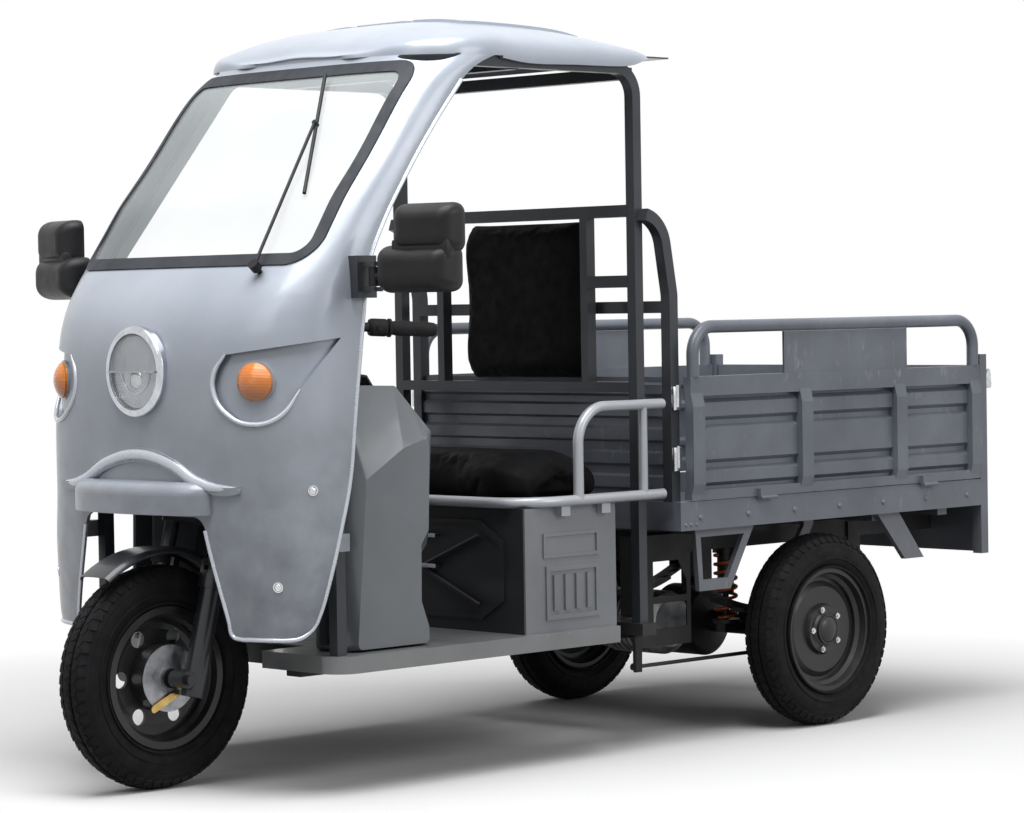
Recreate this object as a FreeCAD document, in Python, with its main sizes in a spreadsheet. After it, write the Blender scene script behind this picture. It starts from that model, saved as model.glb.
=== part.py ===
import FreeCAD, Part
import math
import os

import Sketcher
from FreeCAD import Placement, Rotation, Vector

# A motor cargo tricycle with a half-open cab and a drop-side load bed.
# Millimetres. +X is forward, +Y is the driver's left, +Z is up. The origin is on the ground,
# under the middle of the whole vehicle's length.

SIZES = {
    # wheels
    "front_axle_x": 1140,
    "rear_axle_x": -700,
    "front_tyre_radius": 260,
    "front_tyre_width": 95,
    "rear_tyre_radius": 250,
    "rear_tyre_width": 100,
    "half_track": 450,
    "bead_radius": 153.5,
    "bead_half_width": 36.5,
    "flange_radius": 166,
    "rim_half_width": 42,
    "barrel_radius": 140,
    "rim_gauge": 4,
    "drum_radius": 90,
    "front_drum_radius": 78,
    "stub_radius": 17,
    "front_axle_radius": 7,
    "running_gap": 0.05,
    "disc_hole_radius": 19,
    "disc_hole_circle": 104,
    # fork and steering
    "rake_angle": 15,
    "steer_axis_x": 1100,
    "axle_lead": 38.637,
    "axle_drop": 10.353,
    "fork_half_span": 95,
    "stanchion_radius": 17.5,
    "slider_radius": 27,
    "slider_low": -45,
    "slider_top": 250,
    "yoke_low": 362,
    "yoke_top": 392,
    "steerer_radius": 18,
    "head_tube_radius": 26,
    "head_low": 400,
    "head_top": 590,
    "stem_radius": 16,
    "stem_top": 790,
    "bar_radius": 11,
    "grip_radius": 17,
    "fender_radius": 303,
    "fender_half_width": 56,
    # chassis
    "rail_width": 50,
    "rail_height": 50,
    "rail_offset": 300,
    "floor_top": 320,
    "floor_gauge": 4,
    "floor_front": 985,
    "floor_rear": 65,
    "sill_low": 280,
    "cab_half_width": 470,
    "wheel_well_half_width": 200,
    "wheel_well_rear": 850,
    "high_rail_low": 470,
    "high_rail_top": 520,
    "rail_rear": -1340,
    # rear axle and springs
    "axle_tube_radius": 30,
    "banjo_radius": 95,
    "motor_radius": 85,
    "leaf_gauge": 7,
    "leaf_width": 50,
    "leaf_half_span": 300,
    "eye_radius": 13,
    "eye_height": 385,
    "shock_x": -590,
    "shock_y": 230,
    "coil_radius": 28,
    "coil_wire": 9,
    "coil_low": 272,
    "coil_top": 448,
    "coil_turns": 7,
    # load bed
    "bed_front": -127,
    "bed_rear": -1372,
    "bed_half_width": 500,
    "bed_sill_low": 541,
    "bed_sill_top": 613,
    "bed_floor_low": 553,
    "bed_floor_gauge": 4,
    "bed_post": 30,
    "wall_top": 925,
    "bed_rail_top": 1065,
    "side_skin": 480,
    "panel_low": 616,
    "side_hinge_y": 516,
    "tail_hinge_x": -1386,
    "hinge_z": 611,
    # cab
    "hoop_offset": 428,
    "hoop_side": 28,
    "pillar_x": -50,
    "roof_edge": 1705,
    "roof_wall": 25,
    "skin_gauge": 6,
    "seal_width": 26,
    "headlight_z": 971,
    "headlight_radius": 106,
    "signal_y": 362,
    "signal_z": 948,
    "signal_radius": 43,
    "shield_inner": 300,
    "shield_edge": 385,
    "shield_outer": 425,
    "mirror_y": 665,
    "mirror_x": 897,
    "mirror_z": 1243,
    # seat
    "seat_front": 370,
    "seat_rear": 57,
    "seat_half_width": 450,
    "seat_panel": 6,
    "seat_panel_top": 622,
    "seat_tube_radius": 13,
    "seat_tube_z": 636,
    "seat_tube_y": 466.3,
    "armrest_z": 860,
    "cushion_low": 634,
    "cushion_top": 750,
    "pad_half_width": 224,
    "pad_low": 912,
    "pad_top": 1330,
}

doc = FreeCAD.newDocument("cargo_tricycle")
sheet = doc.addObject("Spreadsheet::Sheet", "Sizes")
for row, (alias, amount) in enumerate(SIZES.items(), start=1):
    sheet.set(f"A{row}", alias)
    sheet.set(f"B{row}", str(amount))
    sheet.setAlias(f"B{row}", alias)
doc.recompute()

nodes = []


class Term:
    """A number that remembers the sheet formula it came from."""

    def __init__(self, number, text):
        self.number = number
        self.text = text

    def __float__(self):
        return self.number

    def __add__(self, other):
        return joined(self, "+", other, float(self) + float(other))

    def __radd__(self, other):
        return joined(other, "+", self, float(other) + float(self))

    def __sub__(self, other):
        return joined(self, "-", other, float(self) - float(other))

    def __rsub__(self, other):
        return joined(other, "-", self, float(other) - float(self))

    def __mul__(self, other):
        return joined(self, "*", other, float(self) * float(other))

    __rmul__ = __mul__

    def __truediv__(self, other):
        return joined(self, "/", other, float(self) / float(other))

    def __neg__(self):
        return self * -1


def term(thing):
    return thing if isinstance(thing, Term) else Term(float(thing), f"({float(thing)})")


def joined(left, sign, right, number):
    return Term(number, f"({term(left).text} {sign} {term(right).text})")


def root(thing):
    return Term(math.sqrt(float(thing)), f"sqrt({term(thing).text})")


def cap_radius(half, rise):
    """Radius of the ball that a domed cap of this half width and rise is cut from."""
    return (half * half + rise * rise) / (rise * 2)


class Reader:
    """Gives each driving dimension by its alias."""

    def __getattr__(self, alias):
        return Term(float(sheet.get(alias)), f"Sizes.{alias}")


s = Reader()


def bind(thing, formulas):
    for path, amount in formulas.items():
        thing.setExpression(path, term(amount).text)


def put(thing, x, y, z):
    bind(thing, {"Placement.Base.x": x, "Placement.Base.y": y, "Placement.Base.z": z})
    return thing


def node(label, thing):
    """Keep an object as one named piece of the tricycle."""
    thing.Label = label
    nodes.append(thing)
    return thing


def shape_object(name, shape):
    thing = doc.addObject("Part::Feature", name)
    thing.Shape = shape
    return thing


def block(name, x, y, z):
    """A box given by its low and high sides along each axis."""
    box = doc.addObject("Part::Box", name)
    bind(box, {"Length": x[1] - x[0], "Width": y[1] - y[0], "Height": z[1] - z[0]})
    return put(box, x[0], y[0], z[0])


TURNS = {"X": Rotation(Vector(0, 1, 0), 90), "Y": Rotation(Vector(1, 0, 0), -90), "Z": Rotation()}


def rod(name, radius, axis, start, length):
    bar = doc.addObject("Part::Cylinder", name)
    bar.Placement.Rotation = TURNS[axis]
    bind(bar, {"Radius": radius, "Height": length})
    return put(bar, *start)


def fused(name, things):
    weld = doc.addObject("Part::MultiFuse", name)
    weld.Shapes = things
    weld.Refine = True
    return weld


def cut(name, base, tool):
    result = doc.addObject("Part::Cut", name)
    result.Base = base
    result.Tool = tool
    return result


def group(name, things):
    result = doc.addObject("Part::Compound", name)
    result.Links = things
    return result


def mirrored(name, thing):
    twin = doc.addObject("Part::Mirroring", name)
    twin.Source = thing
    twin.Normal = Vector(0, 1, 0)
    return twin


def pair(name, thing):
    """The piece and its twin on the other side, as one group."""
    return group(name, [thing, mirrored(f"{name}_right", thing)])


def sided(side, low, high):
    return (low, high) if side > 0 else (-high, -low)


def arc_stretch(start, stop, radius):
    """The arc between two corners, bulging to the right of travel for a positive radius."""
    chord = stop - start
    half = chord.Length / 2
    rise = abs(radius) - math.sqrt(radius * radius - half * half)
    right = Vector(chord.y, -chord.x, 0).normalize()
    middle = (start + stop) * 0.5 + right * math.copysign(rise, radius)
    if radius > 0:
        return Part.Arc(start, middle, stop), (1, 2)
    return Part.Arc(stop, middle, start), (2, 1)


def add_outline(sketch, corners):
    """A closed outline. A corner (u, v, radius) is reached along an arc of that radius."""
    first = sketch.GeometryCount
    count = len(corners)
    places = [Vector(float(corner[0]), float(corner[1]), 0) for corner in corners]
    ends = []
    for here in range(count):
        after = (here + 1) % count
        if len(corners[after]) == 3:
            stretch, order = arc_stretch(places[here], places[after], float(corners[after][2]))
        else:
            stretch, order = Part.LineSegment(places[here], places[after]), (1, 2)
        sketch.addGeometry(stretch)
        ends.append(order)
    for here in range(count):
        after = (here + 1) % count
        sketch.addConstraint(Sketcher.Constraint(
            "Coincident", first + here, ends[here][1], first + after, ends[after][0]))
    for here, corner in enumerate(corners):
        for kind, amount in zip(("DistanceX", "DistanceY"), corner):
            number = sketch.addConstraint(Sketcher.Constraint(
                kind, first + here, ends[here][0], float(amount)))
            sketch.setExpression(f"Constraints[{number}]", term(amount).text)
        if len(corner) == 3:
            before = first + (here - 1) % count
            number = sketch.addConstraint(Sketcher.Constraint("Radius", before, abs(float(corner[2]))))
            sketch.setExpression(f"Constraints[{number}]", f"abs({term(corner[2]).text})")


def add_ring(sketch, u, v, radius):
    number = sketch.addGeometry(Part.Circle(Vector(float(u), float(v), 0), Vector(0, 0, 1), float(radius)))
    for kind, amount in (("DistanceX", u), ("DistanceY", v)):
        place = sketch.addConstraint(Sketcher.Constraint(kind, number, 3, float(amount)))
        sketch.setExpression(f"Constraints[{place}]", term(amount).text)
    place = sketch.addConstraint(Sketcher.Constraint("Radius", number, float(radius)))
    sketch.setExpression(f"Constraints[{place}]", term(radius).text)


def draw(body, title, role, outlines, rings=()):
    sketch = body.newObject("Sketcher::SketchObject", f"{body.Name}_{title}")
    plane = next(item for item in body.Origin.OriginFeatures if item.Role == role)
    sketch.AttachmentSupport = [(plane, "")]
    sketch.MapMode = "FlatFace"
    for outline in outlines:
        add_outline(sketch, outline)
    for ring in rings:
        add_ring(sketch, *ring)
    return sketch


def padded(name, role, outlines, length, rings=()):
    """A plate drawn on an origin plane: XZ grows towards -Y, YZ towards +X, XY towards +Z."""
    body = doc.addObject("PartDesign::Body", name)
    pad = body.newObject("PartDesign::Pad", f"{name}_pad")
    pad.Profile = draw(body, "outline", role, outlines, rings)
    bind(pad, {"Length": length})
    return body


def turned(name, outline, axis="V_Axis", angle=360):
    """A turned piece, from an outline on the XY plane."""
    body = doc.addObject("PartDesign::Body", name)
    sketch = draw(body, "outline", "XY_Plane", [outline])
    turn = body.newObject("PartDesign::Revolution", f"{name}_turn")
    turn.Profile = sketch
    turn.ReferenceAxis = (sketch, [axis])
    turn.Angle = angle
    return body


def box_corners(low_u, low_v, high_u, high_v):
    return [(low_u, low_v), (high_u, low_v), (high_u, high_v), (low_u, high_v)]


def rounded_path(points, radius):
    """Straight runs joined by arcs of one radius, as a bent tube is made."""
    places = [Vector(*[float(number) for number in point]) for point in points]
    edges = []
    start = places[0]
    for before, corner, after in zip(places, places[1:], places[2:]):
        back = (before - corner).normalize()
        ahead = (after - corner).normalize()
        half_turn = (math.pi - back.getAngle(ahead)) / 2
        reach = radius * math.tan(half_turn)
        enter = corner + back * reach
        leave = corner + ahead * reach
        inward = (back + ahead).normalize()
        middle = corner + inward * (radius / math.cos(half_turn) - radius)
        edges.append(Part.LineSegment(start, enter).toShape())
        edges.append(Part.Arc(enter, middle, leave).toShape())
        start = leave
    edges.append(Part.LineSegment(start, places[-1]).toShape())
    return Part.Wire(edges)


def swept(name, profile, path):
    spine = shape_object(f"{name}_path", path)
    start = path.Vertexes[0].Point
    heading = path.Edges[0].tangentAt(path.Edges[0].FirstParameter)
    profile.Placement = Placement(start, Rotation(Vector(0, 0, 1), heading))
    sweep = doc.addObject("Part::Sweep", name)
    sweep.Sections = [profile]
    sweep.Spine = (spine, [f"Edge{number + 1}" for number in range(len(path.Edges))])
    sweep.Solid = True
    return sweep


def round_tube(name, radius, points, bend):
    profile = doc.addObject("Part::Circle", f"{name}_profile")
    bind(profile, {"Radius": radius})
    return swept(name, profile, rounded_path(points, bend))


def square_tube(name, side, points, bend):
    """A square tube bent in an upright plane, with its flats along that plane."""
    half = float(side) / 2
    path = rounded_path(points, bend)
    corners = [Vector(-half, -half, 0), Vector(half, -half, 0), Vector(half, half, 0), Vector(-half, half, 0)]
    profile = shape_object(f"{name}_profile", Part.makePolygon(corners + corners[:1]))
    return swept(name, profile, path)


def lofted(name, wires, ruled=False):
    return shape_object(name, Part.makeLoft(wires, True, ruled))


# Wheels

def tyre_outline(radius, width):
    half = width / 2
    side = [
        (s.bead_radius, -s.bead_half_width),
        (s.bead_radius + 14, 1 - half * 0.8),
        (radius - 62, -half, 70),
        (radius - 22, 6 - half, 60),
        (radius - 6, 20 - half, 30),
    ]
    radii = [cap_radius(half - 20, 6), 30, 60, 70]
    far = [(u, -v, r) for (u, v, *_), r in zip(reversed(side), radii)]
    return side + far + [(s.bead_radius, s.bead_half_width)]


def tyre(label, radius, width, y, axle_x):
    body = turned(label, tyre_outline(radius, width))
    tread = [box_corners(radius - 9, v - 2.5, radius + 1, v + 2.5) for v in (-14, 14)]
    channels = draw(body, "channels", "XY_Plane", tread)
    groove = body.newObject("PartDesign::Groove", f"{label}_channels_cut")
    groove.Profile = channels
    groove.ReferenceAxis = (channels, ["V_Axis"])
    groove.Angle = 360
    body.Tip = groove
    return node(label, put(body, axle_x, y, radius))


def rim_barrel(side):
    """One half of the rolled rim, from the disc out to the flange and back to the well."""
    inner = s.barrel_radius - s.rim_gauge
    flange = s.rim_half_width
    return [
        (inner, 16 * side),
        (inner + 9, 24 * side),
        (inner + 13, flange * side),
        (s.flange_radius, flange * side),
        (s.flange_radius, (flange - 3) * side),
        (s.bead_radius - 0.5, (s.bead_half_width + 0.5) * side),
        (s.barrel_radius + 9, 20 * side),
        (s.barrel_radius, 12 * side),
    ]


def disc_holes(body, count):
    """Round holes through the wheel disc, set evenly round the hub."""
    first = draw(body, "hole", "XZ_Plane", [], [(s.disc_hole_circle, 0, s.disc_hole_radius)])
    pocket = body.newObject("PartDesign::Pocket", f"{body.Name}_hole")
    pocket.Profile = first
    pocket.SideType = "Symmetric"
    pocket.Length = 60
    ring = body.newObject("PartDesign::PolarPattern", f"{body.Name}_holes")
    ring.Originals = [pocket]
    axis = next(item for item in body.Origin.OriginFeatures if item.Role == "Y_Axis")
    ring.Axis = (axis, [""])
    ring.Angle = 360
    ring.Occurrences = count
    body.Tip = ring


def front_rim():
    inner = s.barrel_radius - s.rim_gauge
    bore = s.front_axle_radius + s.running_gap
    drum = s.front_drum_radius
    outline = [(bore, -58), (24, -58), (30, -20), (60, -8), (112, -8), (126, -3), (inner, -3)]
    outline += rim_barrel(-1) + list(reversed(rim_barrel(1)))
    outline += [(inner, 3), (126, 3), (112, 0), (drum, 0), (drum, 46), (drum - 6, 46), (drum - 6, 6),
                (22, 6), (22, 58), (bore, 58)]
    body = turned("front_rim", outline)
    disc_holes(body, 6)
    return node("front_rim", put(body, s.front_axle_x, 0, s.front_tyre_radius))


def rear_rim(label, side):
    inner = s.barrel_radius - s.rim_gauge
    bore = s.stub_radius + s.running_gap
    outline = [(0, 36), (34, 36), (46, 28), (62, 28), (68, 16), (112, 16), (126, 6), (inner, 6)]
    outline += rim_barrel(1) + list(reversed(rim_barrel(-1)))
    outline += [(inner, -2), (124, -2), (108, 8), (84, 8), (s.drum_radius, -14), (s.drum_radius, -66),
                (bore, -66), (bore, 20), (0, 20)]
    body = turned(label, [(u, v * side) for u, v in outline])
    return node(label, put(body, s.rear_axle_x, s.half_track * side, s.rear_tyre_radius))


# Fork and steering, drawn upright and then leaned back with the steering axis

def fork_frame():
    base = Vector(float(s.steer_axis_x), 0, float(s.front_tyre_radius))
    return Placement(base, Rotation(Vector(0, 1, 0), -float(s.rake_angle)))


def leaned(label, thing):
    thing.Placement = fork_frame()
    return node(label, thing)


def boss_hull(centre_radius, end_radius, span):
    """Outline of a bar with a round boss in the middle and one at each end."""
    return [
        (-centre_radius, -span * 0.35),
        (-end_radius, -span),
        (end_radius, -span, end_radius * 1.001),
        (centre_radius, -span * 0.35),
        (centre_radius, span * 0.35),
        (end_radius, span),
        (-end_radius, span, end_radius * 1.001),
        (-centre_radius, span * 0.35),
    ]


def steering_yoke():
    yoke = padded("yoke_bar", "XY_Plane", [boss_hull(30, 26, s.fork_half_span)], s.yoke_top - s.yoke_low)
    put(yoke, 0, 0, s.yoke_low)
    steerer = rod("steerer", s.steerer_radius, "Z", (0, 0, s.yoke_top), s.head_top + 40 - s.yoke_top)
    stem = rod("stem", s.stem_radius, "Z", (0, 0, s.head_top + 40), s.stem_top - s.head_top - 40)
    legs = [rod(f"stanchion_{word}", s.stanchion_radius, "Z", (0, s.fork_half_span * side, 130), s.yoke_low - 130)
            for word, side in (("left", 1), ("right", -1))]
    leaned("steering_yoke", group("steering_yoke", [yoke, steerer, stem] + legs))


def fork_sliders():
    pieces = []
    for word, side in (("left", 1), ("right", -1)):
        y = s.fork_half_span * side
        leg = rod(f"slider_{word}", s.slider_radius, "Z", (0, y, s.slider_low), s.slider_top - s.slider_low)
        collar = rod(f"collar_{word}", s.slider_radius + 4, "Z", (0, y, s.slider_top - 40), 34)
        lug = rod(f"lug_{word}", 20, "Y", (s.axle_lead, y - 25, -s.axle_drop), 50)
        web = block(f"web_{word}", (0, s.axle_lead), (y - 14, y + 14), (-s.axle_drop - 16, -s.axle_drop + 16))
        nut = rod(f"nut_{word}", 12, "Y", (s.axle_lead, y + 25 * side - 6 + 6 * side, -s.axle_drop), 12)
        solid = fused(f"slider_weld_{word}", [leg, collar, lug, web, nut])
        bore = rod(f"bore_{word}", s.stanchion_radius + s.running_gap, "Z", (0, y, 70), s.slider_top - 60)
        pieces.append(cut(f"slider_bored_{word}", solid, bore))
    span = s.fork_half_span - 25
    axle = rod("front_axle", s.front_axle_radius, "Y", (s.axle_lead, -span, -s.axle_drop), span * 2)
    leaned("fork_sliders", group("fork_sliders", pieces + [axle]))


def front_fender():
    """An arched strip turned part of the way round the wheel, with a tab to each slider."""
    rise = s.fender_radius
    edge = s.fender_half_width
    arch = [
        (rise - 12, -edge),
        (rise, 18 - edge, 22),
        (rise, edge - 18, 400),
        (rise - 12, edge, 22),
        (rise - 15, edge - 1),
        (rise - 3, edge - 18, -20),
        (rise - 3, 18 - edge, -400),
        (rise - 15, 1 - edge, -20),
    ]
    sweep_angle = 74
    front_angle = 54
    shell = turned("fender_shell", arch, angle=sweep_angle)
    shell.Placement.Rotation = Rotation(Vector(0, 1, 0), -front_angle)
    put(shell, s.front_axle_x, 0, s.front_tyre_radius)
    doc.recompute()
    if shell.Shape.BoundBox.ZMin < float(s.front_tyre_radius):
        shell.Placement.Rotation = Rotation(Vector(0, 1, 0), -front_angle - sweep_angle)
    tabs = []
    for word, side in (("left", 1), ("right", -1)):
        inner = s.fork_half_span - s.slider_radius - 4
        tabs.append(block(f"fender_tab_{word}", (-9, 9), sided(side, inner - 12, inner), (212, 290)))
    lean_tabs = group("fender_tabs_lean", tabs)
    lean_tabs.Placement = fork_frame()
    node("front_fender", fused("front_fender", [shell, lean_tabs]))


def front_brake():
    """The drum's back plate with its anchor, and the arm that works the shoes."""
    plate = turned("brake_disc_plate", [(23, 47), (70, 47), (78, 49), (78, 51), (30, 51), (30, 55), (23, 55)])
    put(plate, s.front_axle_x, 0, s.front_tyre_radius)
    span = s.fork_half_span - s.slider_radius
    z = s.front_tyre_radius
    anchor = block("brake_anchor", (s.steer_axis_x - 12, s.steer_axis_x + 12), (50, span), (z - 14, z + 14))
    node("front_brake_plate", fused("front_brake_plate", [plate, anchor]))
    hub = (s.front_axle_x + 18, 51, z - 52)
    arm = padded("brake_arm_plate", "XZ_Plane", [boss_hull(9, 8, 38)], 5)
    arm.Placement.Rotation = Rotation(Vector(0, 1, 0), 90 + 25)
    put(arm, hub[0], 58, hub[2])
    cam = rod("brake_cam", 7, "Y", (hub[0], 51.3, hub[2]), 1.7)
    node("front_brake_arm", fused("front_brake_arm", [arm, cam]))


def handlebar():
    """A swept-back bar in a clamp on top of the stem."""
    clamp_foot = fork_frame().multVec(Vector(0, 0, float(s.stem_top)))
    height = clamp_foot.z + 24
    middle = clamp_foot.x
    half = [
        (middle - 6, 0, height),
        (middle - 6, 70, height),
        (middle - 40, 190, height + 30),
        (727, 282.5, 1065.6),
        (568, 362, 1056),
    ]
    left = round_tube("bar_left", s.bar_radius, half, 45)
    right = mirrored("bar_right", left)
    clamp = block("bar_clamp", (-26, 26), (-34, 34), (s.stem_top, s.stem_top + 50))
    clamp_group = group("bar_clamp_lean", [clamp])
    clamp_group.Placement = fork_frame()
    node("handlebar", fused("handlebar", [left, right, clamp_group]))
    return half[-2:]


def grip_profile(length):
    radius = s.grip_radius
    bore = s.bar_radius + 0.3
    return [(bore, 0), (radius + 5, 0), (radius + 5, 6), (radius - 1, 9), (radius, length * 0.55, 200),
            (radius - 1, length - 6, 200), (radius - 4, length), (bore, length)]


def grips(run):
    """The left grip, the twist throttle and the front brake lever with its perch."""
    start, end = [Vector(*[float(number) for number in point]) for point in run]
    along = (end - start).normalize()
    length = 118
    seat = end - along * (length - 0.5)
    left = turned("left_grip", grip_profile(length))
    left.Placement = Placement(seat, Rotation(Vector(0, 1, 0), along))
    controls = [left]
    flip = Vector(1, -1, 1)
    right_seat = Vector(seat.x * flip.x, seat.y * flip.y, seat.z * flip.z)
    right_along = Vector(along.x, -along.y, along.z)
    throttle = turned("throttle_grip", grip_profile(length))
    throttle.Placement = Placement(right_seat, Rotation(Vector(0, 1, 0), right_along))
    node("throttle_grip", throttle)
    for word, place, heading in (("left", seat, along), ("right", right_seat, right_along)):
        perch = turned(f"perch_{word}", [(float(s.bar_radius) + 0.02, -46), (19, -46), (21, -40), (21, -8),
                                          (19, -2), (float(s.bar_radius) + 0.02, -2)])
        perch.Placement = Placement(place, Rotation(Vector(0, 1, 0), heading))
        outward = Vector(-heading.y, heading.x, 0).normalize() * (-1 if word == "left" else 1)
        post = rod(f"perch_post_{word}", 7, "Z", (0, 0, 0), 10.5)
        for path in ("Placement.Base.x", "Placement.Base.y", "Placement.Base.z"):
            post.setExpression(path, None)
        post.Placement = Placement(place - heading * 24 + outward * 15, Rotation(Vector(0, 0, 1), outward))
        controls.append(fused(f"perch_weld_{word}", [perch, post]))
    node("bar_controls", group("bar_controls", controls))
    lever = padded("brake_lever", "XY_Plane", [[(-10, -9), (10, -9), (14, 20), (8, 150), (0, 158, 8), (-6, 150),
                                                (0, 24)]], 9)
    ahead = Vector(0, 0, 1).cross(right_along)
    ahead.normalize()
    if ahead.x < 0:
        ahead = ahead * -1
    pivot = right_seat - right_along * 24 + ahead * 40
    flare = 10
    turn = math.degrees(math.atan2(right_along.y, right_along.x)) - 90 + flare
    lever.Placement = Placement(pivot - Vector(0, 0, 4.5), Rotation(Vector(0, 0, 1), turn))
    boss = shape_object("lever_boss", Part.makeCylinder(12, 13, pivot - Vector(0, 0, 6.5)))
    node("front_brake_lever", fused("front_brake_lever", [lever, boss]))


# Chassis

def shock_can(word, side):
    """The upper tube of a shock, closed by the cap that its spring pushes on."""
    outline = [(0, s.high_rail_low), (34, s.high_rail_low), (34, s.coil_top), (22, s.coil_top), (22, 340),
               (8.3, 340), (8.3, 464), (0, 464)]
    can = turned(f"shock_can_{word}", outline)
    can.Placement.Rotation = Rotation(Vector(1, 0, 0), 90)
    return put(can, s.shock_x, s.shock_y * side, 0)


def chassis_frame():
    """Ladder frame: low rails under the cab, high rails under the bed, joined by uprights."""
    half = s.rail_width / 2
    top = s.floor_top - s.floor_gauge
    low = top - s.rail_height
    inner = s.rail_offset - half
    outer = s.rail_offset + half
    rear_edge = -190
    foot = (rear_edge, rear_edge + 50)
    bars = []
    for word, side in (("left", 1), ("right", -1)):
        rail_y = sided(side, inner, outer)
        out_y = sided(side, outer, s.cab_half_width - 10)
        bars.append(block(f"low_rail_{word}", (rear_edge, s.floor_front - 10), rail_y, (low, top)))
        bars.append(block(f"upright_{word}", foot, rail_y, (top, s.high_rail_low)))
        bars.append(block(f"high_rail_{word}", (s.rail_rear, foot[1]), rail_y, (s.high_rail_low, s.high_rail_top)))
        for number, x in enumerate((880, 560, 75, -75)):
            bars.append(block(f"outrigger_{word}_{number}", (x, x + 50), out_y, (top - 30, top)))
        plate = [(foot[1], 236), (foot[1], s.high_rail_top), (-345, s.high_rail_top), (-345, 236)]
        window = [(-205, 280), (-205, 345), (-330, 345), (-330, 280)]
        light = [(-205, 362), (-205, 452), (-300, 452), (-330, 400), (-330, 362)]
        side_plate = padded(f"side_plate_{word}", "XZ_Plane", [plate, window, light], 4)
        put(side_plate, 0, (outer + 4) if side > 0 else -outer, 0)
        bars.append(side_plate)
        shock_hook = block(f"shock_hook_{word}", (s.shock_x - 25, s.shock_x + 25),
                           sided(side, s.shock_y - 20, inner), (s.high_rail_low, s.high_rail_low + 30))
        bars += [shock_hook, shock_can(word, side)]
        for number, x in enumerate((-1, 1)):
            eye_x = s.rear_axle_x + s.leaf_half_span * x
            for cheek, y in (("out", (outer, outer + 6)), ("in", (inner - 6, inner))):
                bars.append(block(f"hanger_{word}_{number}_{cheek}", (eye_x - 25, eye_x + 25),
                                  sided(side, *y), (s.eye_height - 22, s.high_rail_top - 10)))
            pin = rod(f"eye_pin_{word}_{number}", 6, "Y",
                      (eye_x, (inner if side > 0 else -outer), s.eye_height), s.rail_width)
            bars.append(pin)
    x, y, z = HAND_BRAKE
    bars.append(block("hand_brake_post", (x - 20, x + 20), (outer, y - 14.3), (z - 21, z + 21)))
    low_cross = (-inner, inner)
    for number, x in enumerate((790, 400, 70, rear_edge)):
        bars.append(block(f"low_cross_{number}", (x, x + 50), low_cross, (low, top)))
    for number, x in enumerate((s.rail_rear, -1085, -340)):
        bars.append(block(f"high_cross_{number}", (x, x + 50), low_cross, (s.high_rail_low, s.high_rail_top)))
    node("chassis_frame", group("chassis_frame", bars))


def floor_pan():
    """The stamped floor with its folded sills and the notch for the front wheel."""
    half = s.cab_half_width
    well = s.wheel_well_half_width
    outline = [
        (s.floor_rear, -half), (s.floor_front - 60, -half), (s.floor_front, 60 - half, 60), (s.floor_front, -well),
        (s.wheel_well_rear, -well), (s.wheel_well_rear, well), (s.floor_front, well), (s.floor_front, half - 60),
        (s.floor_front - 60, half, 60), (s.floor_rear, half),
    ]
    plate = put(padded("floor_plate", "XY_Plane", [outline], s.floor_gauge), 0, 0, s.floor_top - s.floor_gauge)
    lip = [
        (s.floor_front, well), (s.floor_front, half - 60), (s.floor_front - 60, half, 60), (s.floor_rear, half),
        (s.floor_rear, half - 4), (s.floor_front - 60, half - 4), (s.floor_front - 4, half - 60, -56),
        (s.floor_front - 4, well),
    ]
    sill = padded("sill_left", "XY_Plane", [lip], s.floor_top - s.floor_gauge - s.sill_low)
    sills = [put(sill, 0, 0, s.sill_low), mirrored("sill_right", sill)]
    x, y, z = PEDAL
    for number, start in enumerate((y - 20, y + 8)):
        sills.append(block(f"pedal_ear_{number}", (x - 12, x + 12), (start, start + 12), (s.floor_top, z + 10)))
    sills.append(rod("pedal_pin", 5, "Y", (x, y - 20, z), 40))
    node("floor_pan", fused("floor_pan", [plate] + sills))


def steering_head():
    """The head tube, welded to a tapered neck that stands on the front cross member."""
    foot = s.floor_top
    neck = padded("head_neck", "XZ_Plane", [[(792, foot), (818, foot), (966, 655), (950, 770)]], 50)
    put(neck, 0, 25, 0)
    tube = rod("head_tube", s.head_tube_radius, "Z", (0, 0, s.head_low), s.head_top - s.head_low)
    bore = rod("head_bore", s.steerer_radius + s.running_gap, "Z", (0, 0, s.head_low - 30),
               s.head_top - s.head_low + 60)
    lean_tube = group("head_tube_lean", [tube])
    lean_tube.Placement = fork_frame()
    lean_bore = group("head_bore_lean", [bore])
    lean_bore.Placement = fork_frame()
    weld = fused("head_weld", [neck, lean_tube])
    node("steering_head", cut("steering_head", weld, lean_bore))


# Rear axle, springs and drive

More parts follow.
